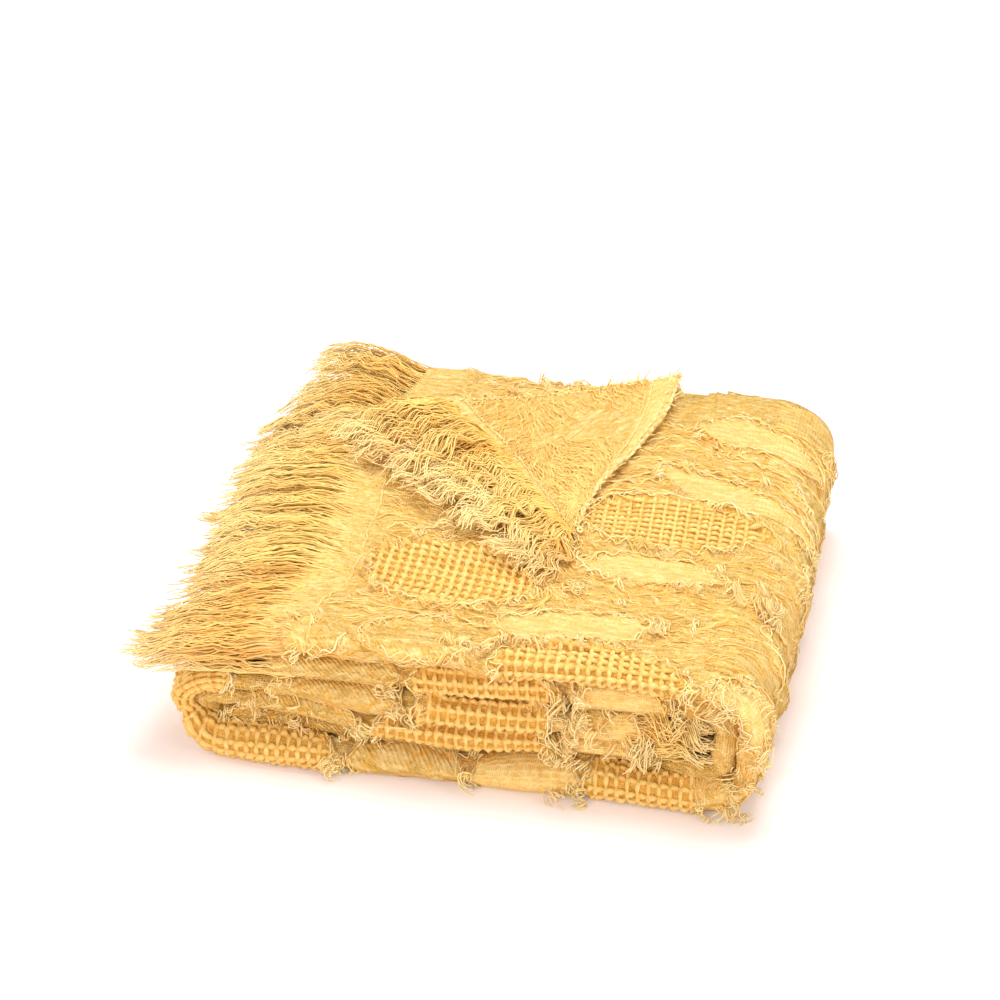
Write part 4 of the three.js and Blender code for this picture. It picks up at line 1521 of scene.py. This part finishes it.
@dataclass
class Tufts:
    """Locks of cut floats that lie and curl along the leaves' outlines."""

    surface: ClothSurface
    seed: int = 5
    points: int = 10
    strands: int = 5
    droop: float = 0.25

    def _lock(self, yarn: YarnBundle, s: Array, w: Array, lean: Array, size: Array, rise: float,
              rng: Random) -> None:
        """Set locks of curling strands.

        Args:
            yarn: Bundle to add to.
            s: Place of each lock along the length.
            w: Place of each lock across the width.
            lean: Direction of each lock, along and across.
            size: Length of each lock in millimetres.
            rise: How steeply the locks leave the cloth.
            rng: Random source.
        """
        locks = len(s)
        if not locks:
            return
        own = np.repeat(np.arange(locks), self.strands)
        count = len(own)

        def shared(low: float, high: float, spread: float) -> Array:
            """Return a value for each lock, with a small spread between its strands."""
            return (rng.uniform(low, high, locks)[own] + rng.normal(0, spread, count))[:, None, None]

        place, tangent_s, tangent_w, out = self.surface.frame_at(
            s[own] + rng.normal(0, 1.4, count), w[own] + rng.normal(0, 1.2, count), 0.4)
        leaning = lean[own] + rng.normal(0, 0.13, (count, 2))
        steep = (rise * rng.uniform(0.5, 1.5, locks)[own] + rng.normal(0, 0.08, count))[:, None]
        forward = unit(tangent_s * leaning[:, :1] + tangent_w * leaning[:, 1:] + out * steep)
        side = unit(np.cross(forward, out))
        upward = np.cross(side, forward)
        t = np.linspace(0, 1, self.points)[None, :, None]
        length = (size[own] * rng.uniform(0.75, 1.1, count))[:, None, None]
        curl = shared(0.15, 0.3, 0.012) * length * np.minimum(t * 2.2, 1)
        angle = TAU * shared(0.8, 1.7, 0.03) * t + shared(0, 6.28, 0.12)
        first = angle[:, :1]
        bend = shared(-0.3, 0.3, 0.04) * length * t ** 2
        path = place[:, None] + forward[:, None] * length * t * (0.85 - 0.3 * t)
        path = path + side[:, None] * (curl * (np.sin(angle) - np.sin(first)) + bend)
        path = path + upward[:, None] * curl * 0.8 * (np.cos(angle) - np.cos(first))
        path[..., 2] -= (self.droop * length * t ** 2)[..., 0]
        tone = np.clip(rng.uniform(0.4, 1.0, locks)[own] + rng.normal(0, 0.12, count), 0, 1)
        tip = np.linspace(0.1, 0.75, self.points)
        thick = rng.uniform(0.46, 0.64, (count, 1)) * np.linspace(1, 0.85, self.points)
        yarn.add(path, thick, tone[:, None], tip[None] * np.ones((count, 1)))

    def fill(self, yarn: YarnBundle) -> None:
        """Set the locks along the leaves and the larger tangles."""
        self._along_leaves(yarn)
        self._tangle(yarn)

    def _along_leaves(self, yarn: YarnBundle) -> None:
        """Set the locks of every leaf, in uneven clumps along its outline.

        Args:
            yarn: Bundle to add to.
        """
        rng = np.random.default_rng(self.seed)
        length, turn = self.surface.stack.length, self.surface.stack.turn_s
        for leaf in self.surface.leaves:
            line, outward = leaf.outline(4.5)
            clumpy = 0.5 + 0.5 * self.surface.fine(line[:, 0] / 8 + 3, line[:, 1] / 8)
            chosen = rng.uniform(0, 1, len(line)) < 0.42 * leaf.tufts * between(0.15, 0.7, clumpy)
            chosen &= (line[:, 0] > 10) & (line[:, 0] < length - 4) & (line[:, 1] > 4)
            line, outward = line[chosen], outward[chosen]
            push = unit(outward * 0.35 + rng.normal(0, 0.3, outward.shape) + np.array([0.6, 0.35]))
            on_turn = (line[:, 0] > turn[0] - 10) & (line[:, 0] < turn[1] + 10)
            size = rng.uniform(8, 18, len(line)) * np.where(on_turn, 0.7, 1.0)
            self._lock(yarn, *line.T, push, size, 0.34, rng)

    def _tangle(self, yarn: YarnBundle) -> None:
        """Set the larger tangles.

        Args:
            yarn: Bundle to add to.
        """
        rng = np.random.default_rng(self.seed + 1)
        for tangle in tangles(self.surface.stack):
            count = tangle.locks
            self._lock(
                yarn, tangle.s + rng.normal(0, tangle.spread, count),
                tangle.w + rng.normal(0, tangle.spread * 0.7, count),
                np.array(tangle.lean) + rng.normal(0, 0.35, (count, 2)),
                rng.uniform(0.75, 1.2, count) * tangle.size, tangle.rise, rng)


@dataclass
class SurfaceFloats:
    """Long loose yarns that lie along the cloth between the leaves."""

    surface: ClothSurface
    count: int = 2900
    points: int = 9
    seed: int = 17
    centre: tuple[float, float] = (244.0, 190.0)

    def flow(self, s: Array, w: Array) -> Array:
        """Work out the way in which the floats lie.

        Args:
            s: Places along.
            w: Places across.

        Returns:
            Angles from the length, along it at the fringe and around the leaves beyond.
        """
        ds, dw = (s - self.centre[0]) / 1.25, w - self.centre[1]
        around = np.arctan2(ds, -dw)
        reach = np.hypot(ds, dw)
        weight = between(30, 55, reach) * between(150, 190, s)
        along = 0.12 + 0.25 * self.surface.broad(s / 60 + 8, w / 50)
        return along * (1 - weight) + around * weight

    def fill(self, yarn: YarnBundle) -> None:
        """Lay the floats over the cloth that shows.

        Args:
            yarn: Bundle to add to.
        """
        rng = np.random.default_rng(self.seed)
        outer, back, _ = self.surface.stack.fold_w
        s = rng.uniform(30, 420, self.count)
        w = rng.uniform(40, outer + 8, self.count)
        # A few lie on the strip of the second ply that the turned corner leaves bare.
        few = self.count // 12
        s[:few] = rng.uniform(30, 220, few)
        w[:few] = rng.uniform(back - 80, back + 10, few)
        lines = [np.stack([s, w], -1)]
        length = rng.uniform(12, 34, self.count)
        for _ in range(self.points - 1):
            s, w = lines[-1].T
            wander = 0.9 * self.surface.fine(s / 9, w / 7 + 9) + rng.normal(0, 0.28, self.count)
            angle = self.flow(s, w) + wander
            step = length / (self.points - 1)
            lines.append(lines[-1] + np.stack([np.cos(angle), np.sin(angle)], -1) * step[:, None])
        path = np.stack(lines, axis=1)
        inside = np.max([leaf.inside(*path.T).T for leaf in self.surface.leaves], axis=0)
        path = path[(inside.max(axis=1) < 1.5) & (path[..., 1].min(axis=1) > 5)]
        rise = np.sin(np.linspace(0, math.pi, self.points)) ** 0.5
        lift = 0.5 + rng.uniform(0.5, 1.5, (len(path), 1)) * rise
        points = self.surface.over(path[..., 0], path[..., 1], lift)
        each = (len(path), 1)
        thick = rng.uniform(0.38, 0.56, each) * np.ones(self.points)
        yarn.add(points, thick, rng.uniform(0.1, 1, each), rng.uniform(0, 0.6, each) ** 1.5)


# ---------------- fringes

END_SEED = 70  # Added to a fringe's seed for its curled ends, which draw from their own source.


@dataclass
class HeadingSeam:
    """The two twisted yarns that close the heading beside the fringe."""

    surface: ClothSurface
    middle: float = 31.0
    start: float = 84.0
    radius: float = 0.52

    def fill(self, yarn: YarnBundle) -> None:
        """Lay both yarns across the top ply.

        Args:
            yarn: Bundle to add to.
        """
        w = np.arange(self.start, self.surface.stack.fold_w[0] + 20, 1.6)
        line = self.middle + 0.5 * self.surface.broad(w / 40, w * 0)
        for turn in (0.0, math.pi):
            twist = w * 1.1 + turn
            path = self.surface.at(line + 0.55 * np.sin(twist), w, 1.4 + 0.45 * np.cos(twist))
            yarn.add(path[None], self.radius, 0.6, 0.3)


class FringeLocks:
    """Strands gathered into locks in three overlapping layers, with values that a lock shares."""

    layers = 3

    def __init__(self, rng: Random, low: float, high: float, size: float, at: Array) -> None:
        """Give each strand to the nearest lock of its own layer.

        Args:
            rng: Random source.
            low: Where the fringe starts.
            high: Where it ends.
            size: Mean width of a lock.
            at: Where each strand is rooted.
        """
        self.rng = rng
        each = max(int((high - low) / size), 2)
        centres = np.sort(rng.uniform(low, high, (self.layers, each)), axis=1)
        layer = rng.integers(0, self.layers, len(at))
        near = np.abs(centres[layer] - at[:, None]).argmin(axis=1)
        self.own = layer * each + near
        self.total = self.layers * each
        self.inward = np.clip(centres.ravel()[self.own] - at, -size, size)[:, None]

    def pick(self, low: float, high: float, rng: Random | None = None) -> Array:
        """Return a value between two bounds, the same for all strands of a lock."""
        return (rng or self.rng).uniform(low, high, self.total)[self.own][:, None]


def curled_end(t: Array, size: Array, turns: Array) -> tuple[Array, Array]:
    """Return how far the last third of each strand swings aside and draws back as it curls."""
    angle = TAU * turns * np.clip((t - 0.66) / 0.34, 0, 1)
    return size * (1 - np.cos(angle)), size * np.sin(angle) * 0.8


@dataclass(frozen=True)
class Stretch:
    """A stretch of fringe between two places across the width.

    It has `per_mm` strands for each millimetre, of a mean length, that stand off each other by
    `puff`; `curl` is how strongly its locks wave.
    """

    low: float
    high: float
    per_mm: float
    length: float
    puff: float
    seed: int
    curl: float = 1.0


@dataclass
class EndFringe:
    """The fine fringe beyond a fringed end, in overlapping locks."""

    surface: ClothSurface
    stretches: tuple[Stretch, ...]
    inner: bool = False
    points: int = 20
    lock_mm: float = 9.0

    def fill(self, yarn: YarnBundle) -> None:
        """Hang all stretches of the fringe."""
        for stretch in self.stretches:
            self._hang(yarn, stretch)

    def _hang(self, yarn: YarnBundle, stretch: Stretch) -> None:
        """Hang one stretch of the fringe.

        Args:
            yarn: Bundle to add to.
            stretch: The stretch.
        """
        low, high, seed, curl = stretch.low, stretch.high, stretch.seed, stretch.curl
        rng = np.random.default_rng(seed)
        count = int((high - low) * stretch.per_mm)
        each = (count, 1)
        w0 = rng.uniform(low, high, count)
        t = np.linspace(0, 1, self.points)[None]
        lock = FringeLocks(rng, low, high, self.lock_mm, w0)
        broad, fine = self.surface.broad, self.surface.fine
        uneven = 0.1 * broad(w0 / 26, np.full(count, seed))[:, None]
        reach = stretch.length * (1 + lock.pick(-0.12, 0.12) + uneven)
        reach = reach * rng.uniform(0.84, 1.05, each)
        wave = lock.pick(14, 30) * rng.uniform(0.95, 1.05, each)
        phase = lock.pick(0, 6.28) + rng.normal(0, 0.35, each)
        swing = curl * lock.pick(0.5, 2.2) * rng.uniform(0.7, 1.3, each)
        sway = lock.inward * (0.62 * eased(t * 1.2) - 0.25 * t ** 4) + lock.pick(-12, 12) * t ** 1.5
        sway = sway + swing * np.sin(TAU * reach * t / wave + phase) * np.minimum(3 * t, 1)
        sway = sway + rng.normal(0, 2.6, each) * t ** 1.2
        ends = np.random.default_rng(seed + END_SEED)
        hook, drawn = curled_end(t, curl * lock.pick(0.6, 2.4, ends), lock.pick(0.3, 0.8, ends))
        sway = sway + hook * np.sign(lock.pick(-1, 1, ends))
        layer = np.clip(lock.pick(0, 1) + rng.normal(0, 0.16, each), 0, 1)
        bump = broad(w0 / 12 + 3, np.full(count, seed * 0.7))[:, None]
        puff = stretch.puff
        lift = (layer - 0.3) * puff * np.minimum(t * 4, 1) * (1 + 0.6 * np.sin(math.pi * t))
        lift = lift + bump * puff * 0.5 * np.sin(math.pi * t)
        lift = lift + 0.5 * swing * np.sin(TAU * reach * t / (wave * 0.8) + phase * 1.7) * t
        # The roots start unevenly, up to about 30 mm within the cloth.
        span = self.surface.stack.length
        ragged = 0.5 + 0.5 * fine(w0 / 9, np.full(count, 4.4))[:, None]
        root = 1 + 26 * ragged * rng.uniform(0, 1, each) ** 1.8 + lock.pick(0, 5)
        out = (reach + root) * t - drawn
        s = span - root + out if self.inner else root - out
        edge = self.surface.relief(np.clip(s, 0, span), np.broadcast_to(w0[:, None], s.shape))
        edge = edge + 1.1 * np.clip(1 - t * 4, 0, 1)
        across = np.clip(w0[:, None] + sway, 1, self.surface.stack.width - 1)
        path = self.surface.stack.place(s, across, edge + lift)
        # Painted shade: strands of the lower layers get a deeper tone, and near the front the tone is
        # lowered further where the fringe hangs in its own shade; painted light: the curlier stretches
        # get a paler tone.
        front = self.surface.stack.fold_w[0]
        shade = 0.35 * between(front - 110, front - 10, w0) * (w0 < front + 10)
        tone = 0.25 + 0.65 * layer + 0.3 * (curl - 1) - shade[:, None]
        tone = np.clip(tone + rng.normal(0, 0.14, each), 0, 1)
        tip = 0.1 + 0.5 * t ** 2.5 + rng.uniform(0, 0.45, each) * np.clip(1 - t / 0.25, 0, 1)
        thick = rng.uniform(0.54, 0.72, each) * (1 - 0.25 * t)
        yarn.add(path, thick, tone, tip * np.ones(each))


@dataclass
class CornerFringe:
    """The wavy fringe of the turned corner, fanned over the stack."""

    corner: TurnedCorner
    length: float = 84.0
    turn_from: float = 200.0
    turn_to: float = 240.0
    lock_share: float = 0.07
    ceiling: float = 138.0
    count: int = 860
    points: int = 20
    seed: int = 12

    def fill(self, yarn: YarnBundle) -> None:
        """Hang the fringe from the corner's fringed edge.

        Args:
            yarn: Bundle to add to.
        """
        rng = np.random.default_rng(self.seed)
        count, each = self.count, (self.count, 1)
        down = rng.uniform(0.0, 0.97, count)
        lock = FringeLocks(rng, 0.0, 0.97, self.lock_share, down)
        share = rng.uniform(0.0, 0.07, count)
        base = self.corner.at(share, down, rng.uniform(0.4, 1.8, count))
        t = np.linspace(0, 1, self.points)[None]
        centre = down[:, None] + lock.inward
        turn = self.turn_from + (self.turn_to - self.turn_from) * np.clip(centre, 0, 1) ** 1.15
        turn = np.radians(turn + lock.pick(-22, 22) + rng.normal(0, 3.5, each))
        reach = self.length * lock.pick(0.72, 1.16) * rng.uniform(0.86, 1.05, each)
        reach = reach * (1 - 0.3 * down)[:, None]
        ends = np.random.default_rng(self.seed + END_SEED)
        hook, drawn = curled_end(t, lock.pick(1.6, 4.0, ends), lock.pick(0.5, 1.1, ends))
        past = reach * t - drawn
        wave = lock.pick(15, 32)
        phase = lock.pick(0, 6.28) + rng.normal(0, 0.3, each)
        swing = lock.pick(1.4, 4.4) * rng.uniform(0.8, 1.2, each)
        side = swing * np.sin(TAU * past / wave + phase) * np.minimum(2.5 * t, 1)
        side = side + lock.pick(-12, 12) * t ** 1.6 + rng.normal(0, 1.7, each) * t ** 1.2
        side = side + hook * np.sign(lock.pick(-1, 1, ends))
        # Strands of a lock draw together towards its middle, then open a little at the tip.
        edge_mm = np.linalg.norm(self.corner.at(0.0, 0.9) - self.corner.at(0.0, 0.0)) / 0.9
        side = side - lock.inward * edge_mm * (0.75 * eased(t * 1.4) - 0.3 * t ** 4)
        x = base[:, :1] + past * np.cos(turn) - side * np.sin(turn)
        y = base[:, 1:2] + past * np.sin(turn) + side * np.cos(turn)
        layer = np.clip(lock.pick(0, 1) + rng.normal(0, 0.12, each), 0, 1)
        # The strands come down onto the stack in layers and hang over its left edge.
        under = np.interp(x, SETTLED_X, [row[-1] for row in SETTLED])
        under = under * (1 + from_table(SWELL_X, np.array(SWELL)[2], x.ravel()).reshape(x.shape))
        leftmost = 1 - between(0.15, 0.6, down)[:, None]
        rest = under + 4.5 + 14 * layer * (1 - 0.35 * t) + 5 * leftmost - 6 * between(-130, -185, x)
        arch = (5.0 + 4.0 * leftmost) * np.sin(math.pi * np.clip(t * 1.5, 0, 1)) * (0.2 + layer)
        z = base[:, 2:] + (rest - base[:, 2:]) * eased(t * 1.25) + arch
        z = z + 0.8 * swing * np.sin(TAU * past / (wave * 0.85) + phase * 1.3) * np.minimum(2 * t, 1)
        z = np.clip(z, under + 1.5 - 12 * between(-150, -190, x), self.ceiling)
        path = np.stack([x, y, z], axis=-1)
        # Painted shade: strands of the lower layers get a deeper tone.
        tone = np.clip(0.1 + 0.85 * layer + rng.normal(0, 0.12, each), 0, 1)
        tip = 0.05 + 0.6 * t ** 2.5
        thick = rng.uniform(0.5, 0.68, each) * (1 - 0.2 * t)
        yarn.add(path, thick, tone, tip * np.ones(each))


@dataclass(frozen=True)
class Knots:
    """A row of small loops on the turned corner: where they stand, their size and their turn."""

    share: Array
    down: Array
    size: float
    thick: float
    outward: float
    turn: Array


@dataclass
class CornerFloats:
    """What shows on the wrong side of the turned corner: long floats, picots and a dotted seam."""

    corner: TurnedCorner
    drop_mm: float = 190.0
    ridge_mm: float = 195.0
    ceiling: float = 139.0
    count: int = 900
    points: int = 10
    seed: int = 21

    def fill(self, yarn: YarnBundle) -> None:
        """Lay the floats and dress the edges."""
        self._floats(yarn)
        self._edges(yarn)

    def _floats(self, yarn: YarnBundle) -> None:
        """Lay wavy floats down the corner, between its heading and its selvedge.

        Args:
            yarn: Bundle to add to.
        """
        rng = np.random.default_rng(self.seed)
        broad = self.corner.surface.broad
        share = rng.uniform(0.2, 0.84, self.count)
        start = rng.uniform(-0.25, 0.8, self.count)
        # Some patches of the cloth stay plain.
        shown = broad(start * 5 + 40, share * 5) < 0.12
        share, start = share[shown], start[shown]
        each = (len(share), 1)
        t = np.linspace(0, 1, self.points)[None]
        length = rng.uniform(16, 36, each)
        angle = 1.25 * broad(start * 4 + 3, share * 4)[:, None] + 0.55 * np.sin(
            TAU * rng.uniform(0.8, 1.9, each) * t + rng.uniform(0, 6.28, each))
        step = length / (self.points - 1)
        down = start[:, None] + np.cumsum(np.cos(angle) * step, axis=1) / self.drop_mm
        width = self.ridge_mm * (1 - np.clip(down, 0, 0.92))
        across = share[:, None] + np.cumsum(np.sin(angle) * step, axis=1) / width
        lift = 0.9 + rng.uniform(0.3, 1.9, each) * np.sin(math.pi * t) ** 0.6
        path = self.corner.at(np.clip(across, 0.02, 0.87), np.minimum(down, 0.96), lift)
        tone = np.clip(rng.uniform(0.3, 1.0, each), 0, 1)
        yarn.add(path, rng.uniform(0.36, 0.5, each) * np.ones(self.points), tone, 0.12)

    def _edges(self, yarn: YarnBundle) -> None:
        """Set the picot loops along the selvedge and the ridge, and the seams by the headings.

        Args:
            yarn: Bundle to add to.
        """
        rng = np.random.default_rng(self.seed + 1)
        arch = np.linspace(-0.35, math.pi + 0.35, 7)[None]
        ring = np.linspace(0, 2.3 * math.pi, 10)[None]
        for knots in (
            Knots(np.full(29, 0.995), np.linspace(0.0, 0.96, 29), 1.9, 1.15, 1, ring),
            Knots(np.full(24, 0.96), np.linspace(0.02, 0.94, 24), 1.6, 0.8, 1, ring),
            Knots(np.linspace(0.1, 0.98, 34), np.full(34, 0.0), 1.7, 0.95, 0, ring),
            Knots(np.full(70, 0.885), np.linspace(0.02, 0.9, 70), 1.1, 0.5, 1, arch),
            Knots(np.full(60, 0.105), np.linspace(0.02, 0.86, 60), 0.9, 0.5, 1, arch),
        ):
            self._knot(yarn, knots, rng)
        down, share = rng.uniform(0.0, 0.96, 110), rng.uniform(0.1, 0.98, 130)
        self._fray(yarn, np.full(110, 0.985), down, rng)
        self._fray(yarn, share, np.full(130, 0.0), rng)

    def _knot(self, yarn: YarnBundle, knots: Knots, rng: Random) -> None:
        """Set one row of loops.

        Args:
            yarn: Bundle to add to.
            knots: The row.
            rng: Random source.
        """
        each = (len(knots.share), 1)
        base = self.corner.at(knots.share, knots.down, 1.2)
        ahead = unit(np.gradient(base, axis=0))
        inward = unit(self.corner.at(np.clip(knots.share - 0.02, 0, 1), knots.down, 1.2) - base)
        up = np.cross(ahead, inward)
        up *= np.sign(up[:, 2:])
        out = -0.6 * inward * knots.outward + up
        base = base + out * rng.uniform(-0.3, 1.4, each)
        radius = knots.size * rng.uniform(0.7, 1.3, each)
        path = base[:, None] + ahead[:, None] * (radius * np.cos(knots.turn))[..., None]
        path = path + out[:, None] * (0.8 * radius * np.sin(knots.turn))[..., None]
        path = path + rng.normal(0, 0.12 * knots.size, (*each, 3))
        yarn.add(path, knots.thick, rng.uniform(0.6, 1.0, each), 0.5)

    def _fray(self, yarn: YarnBundle, share: Array, down: Array, rng: Random) -> None:
        """Set short frayed ends.

        Args:
            yarn: Bundle to add to.
            share: Places along the ridge.
            down: Places down from it.
            rng: Random source.
        """
        t = np.linspace(0, 1, 7)[None, :, None]
        count = len(share)
        base = self.corner.at(share, down, 0.8)
        within = self.corner.at(np.clip(share - 0.03, 0, 1), np.clip(down + 0.02, 0, 1), 0.8)
        out = unit(base - within) + np.array([0, 0, 0.45]) + rng.normal(0, 0.55, (count, 3))
        out = unit(out)
        bend = rng.normal(0, 1, (count, 3))
        length = rng.uniform(3.0, 7.2, (count, 1, 1))
        path = base[:, None] + out[:, None] * length * t + bend[:, None] * length * 0.45 * t ** 2
        path = path + 0.8 * np.sin(5 * t + rng.uniform(0, 6.28, (count, 1, 3)))
        path[..., 2] = np.clip(path[..., 2], SIZES.top * 0.86, self.ceiling)
        yarn.add(path, 0.45, rng.uniform(0.5, 1.0, (count, 1)), 0.35)


# ---------------- studio


@dataclass
class Studio:
    """A pale floor, soft lamps and the camera."""

    target: tuple[float, float, float] = (-0.035, 0.086, 0.055)
    distance: float = 2.27
    yaw: float = 12.0
    elevation: float = 33.0
    lens: float = 108.0

    @staticmethod
    def _direct_rays(tree: Tree) -> Node:
        """Tell apart what the eye sees straight, in a reflection or through glass.

        Args:
            tree: Nodes of the floor's paint or of the world.

        Returns:
            1 for those rays and 0 for the rest.
        """
        rays = add_node(tree, "ShaderNodeLightPath").outputs
        sharp = add_node(tree, "ShaderNodeMath", {"operation": "MAXIMUM"}, {
            0: rays["Is Glossy Ray"], 1: rays["Is Transmission Ray"]})
        return add_node(tree, "ShaderNodeMath", {"operation": "MAXIMUM"}, {
            0: rays["Is Camera Ray"], 1: sharp})

    def build_floor(self) -> Item:
        """Lay the floor.

        Returns:
            The floor.
        """
        mesh = bpy.data.meshes.new("floor")
        reach = 6.0
        corners = [(x * reach, y * reach, 0) for x, y in ((-1, -1), (1, -1), (1, 1), (-1, 1))]
        mesh.from_pydata(corners, [], [(0, 1, 2, 3)])
        # Matt white paint: it stays white to the eye and keeps a soft shadow; the paint's faint pink
        # tint shows only in that shadow, as painted warm light bounced from the cloth.
        material = bpy.data.materials.new("white_floor_paint")
        tree = empty_tree(material)
        paint = add_node(tree, "ShaderNodeBsdfDiffuse", None, {"Color": linear("#F3E6E6")})
        glow = add_node(tree, "ShaderNodeEmission", None, {"Color": (1, 1, 1, 1), "Strength": 0.13})
        seen = self._direct_rays(tree)
        none = add_node(tree, "ShaderNodeEmission", None, {"Strength": 0.0})
        lit = add_node(tree, "ShaderNodeMixShader", None, {0: seen, 1: none, 2: glow})
        both = add_node(tree, "ShaderNodeAddShader", None, {0: paint, 1: lit})
        add_node(tree, "ShaderNodeOutputMaterial", None, {"Surface": both})
        mesh.materials.append(material)
        return linked("floor", mesh)

    def light(self) -> None:
        """Hang a wide soft lamp overhead and three fills, in a plain pale world."""
        lamps = (
            ("overhead", (0.1, 0.5, 2.4), (-12, 2, 0), 1.2, 49.0, "#FBFFFF"),
            ("front_fill", (-0.4, -2.4, 1.2), (66, 0, -10), 1.6, 40.0, "#FFF6E8"),
            ("right_fill", (2.3, -0.7, 1.3), (66, 0, 73), 1.6, 25.0, "#F8FFFF"),
            ("left_fill", (-2.3, 0.4, 1.3), (66, 0, -100), 1.6, 20.0, "#FFFFFF"),
        )
        for name, place, degrees, size, power, tint in lamps:
            lamp = bpy.data.lights.new(name, "AREA")
            lamp.shape, lamp.size, lamp.energy = "SQUARE", size, power
            lamp.color = linear(tint)[:3]
            item = linked(name, lamp)
            item.location = place
            item.rotation_euler = [math.radians(angle) for angle in degrees]
        world = bpy.data.worlds.new("studio")
        tree = empty_tree(world)
        seen = self._direct_rays(tree)
        white = add_node(tree, "ShaderNodeBackground", None, {"Color": (1, 1, 1, 1), "Strength": 1.0})
        soft = add_node(tree, "ShaderNodeBackground", None, {
            "Color": linear("#FFF8F0"), "Strength": 0.38})
        mixed = add_node(tree, "ShaderNodeMixShader", None, {0: seen, 1: soft, 2: white})
        add_node(tree, "ShaderNodeOutputWorld", None, {"Surface": mixed})
        bpy.context.scene.world = world

    def place_camera(self) -> None:
        """Place the camera at its viewing angle."""
        yaw, rise = math.radians(self.yaw), math.radians(self.elevation)
        back = Vector((math.sin(yaw) * math.cos(rise), -math.cos(yaw) * math.cos(rise), math.sin(rise)))
        camera = bpy.data.cameras.new("camera")
        camera.lens, camera.sensor_width, camera.clip_end = self.lens, 36.0, 50.0
        item = linked("camera", camera)
        item.location = Vector(self.target) + back * self.distance
        item.rotation_euler = back.to_track_quat("Z", "Y").to_euler()
        bpy.context.scene.camera = item


# ---------------- the throw


# Cotton in a warm yellow dye: its deep colour is painted shade between the threads, its pale colour
# a painted highlight on the crests, and its slope colour painted shade on steep sides.
COTTON = WovenCotton("washed_jacquard_cotton", "#FFDE92", "#EDAF42", "#FFEAAB", "#F8BB4E")
# Single yarn, loosely spun: the eye sees it paler than the cloth, since light passes its fibres.
YARN = CottonYarn("loose_cotton_yarn", "#FFE08A", "#F4B34A", "#FFF0C0")
# Cord plied from many ends: rounder and deeper in dye, with fuzz that breaks its edge; its deep
# colour shows where a cord dips under its crossing cord, as painted shade.
CORD = CottonYarn("plied_cotton_cord", "#FBD888", "#E3A636", "#FFEBB4", fuzz_depth_mm=0.7)


@dataclass(frozen=True)
class YarnPiece:
    """One piece of yarn: its name, how far its yarn wanders in millimetres, and its parts."""

    name: str
    frizz: float
    parts: tuple[Maker, ...]
    finish: CottonYarn = YARN
    sides: int = 3

    def build(self, tree: Tree, material: Material) -> Item:
        """Lay the strands of all parts and turn them into tubes.

        Args:
            tree: The yarn node tree.
            material: The yarn's finish.

        Returns:
            The piece.
        """
        bundle = YarnBundle()
        for part in self.parts:
            part.fill(bundle)
        return bundle.build(self.name, tree, material, self.sides, self.frizz)


def yarn_pieces(surface: ClothSurface, corner: TurnedCorner) -> list[YarnPiece]:
    """List the pieces of yarn.

    Args:
        surface: The cloth.
        corner: Its turned corner.

    Returns:
        The pieces, in the order in which they are made.
    """
    outer, back, inner = surface.stack.fold_w
    width = surface.stack.width
    top = EndFringe(surface, (Stretch(90, outer + 6, 4.4, 87, 6.5, seed=3),))
    # The lower plies show little of their fringe, but for the strip behind the turned corner.
    lower = EndFringe(surface, (
        Stretch(outer + 6, back - 120, 0.3, 84, 4.0, seed=4),
        Stretch(back - 150, back, 3.9, 84, 14.0, seed=5, curl=1.9),
        Stretch(back, inner - 40, 0.25, 84, 4.0, seed=6),
        Stretch(inner - 40, inner + 40, 1.2, 80, 4.0, seed=7),
        Stretch(inner + 40, width, 0.25, 84, 4.0, seed=8),
    ), points=14)
    # The inner end lies within the stack and only looks out beside the front rolls.
    within = EndFringe(surface, (
        Stretch(0, width, 0.25, 22, 3.0, seed=9),
        Stretch(outer - 26, outer + 26, 4.4, 40, 9.0, seed=10, curl=1.8),
        Stretch(inner - 26, inner + 26, 4.4, 40, 9.0, seed=10, curl=1.8),
    ), inner=True, points=9)
    return [
        YarnPiece("waffle_cords", 1.8, (WaffleCords(surface),), CORD, sides=5),
        YarnPiece("leaf_edge_floats", 2.4, (LeafEdges(surface),)),
        YarnPiece("cut_float_tufts", 2.4, (Tufts(surface),)),
        YarnPiece("lying_floats", 2.6, (SurfaceFloats(surface),)),
        YarnPiece("top_end_fringe", 3.6, (top, HeadingSeam(surface))),
        YarnPiece("lower_end_fringe", 3.6, (lower,)),
        YarnPiece("inner_end_yarns", 3.0, (within,)),
        YarnPiece("corner_end_fringe", 3.6, (CornerFringe(corner),)),
        YarnPiece("corner_floats", 2.0, (CornerFloats(corner),)),
    ]


def main() -> None:
    """Build the throw, its floor, lamps and camera."""
    logging.basicConfig(level=logging.INFO, format="%(name)s %(message)s")
    bpy.context.scene.view_settings.view_transform = "Standard"
    stack = FoldedStack()
    surface = ClothSurface(stack)
    corner = TurnedCorner(surface)
    tree = yarn_tree()
    cotton = COTTON.build()
    yarn_finishes = {finish: finish.build() for finish in (YARN, CORD)}
    studio = Studio()
    studio.place_camera()
    studio.light()
    studio.build_floor()

    cloth = ThrowCloth(surface, corner).build(cotton)
    LOG.info("%s: %.0f by %.0f mm of cloth", cloth.name, stack.length, stack.width)
    built = {
        piece.name: piece.build(tree, yarn_finishes[piece.finish])
        for piece in yarn_pieces(surface, corner)
    }
    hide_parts("throw_cloth")
    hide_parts("outer_end_fringe")
    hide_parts("inner_end_fringe")
    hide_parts("turned_corner_fringe")
    yarns = list(built.values())
    for piece in (cloth, *yarns):
        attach(piece, "root")


if __name__ == "__main__":
    main()
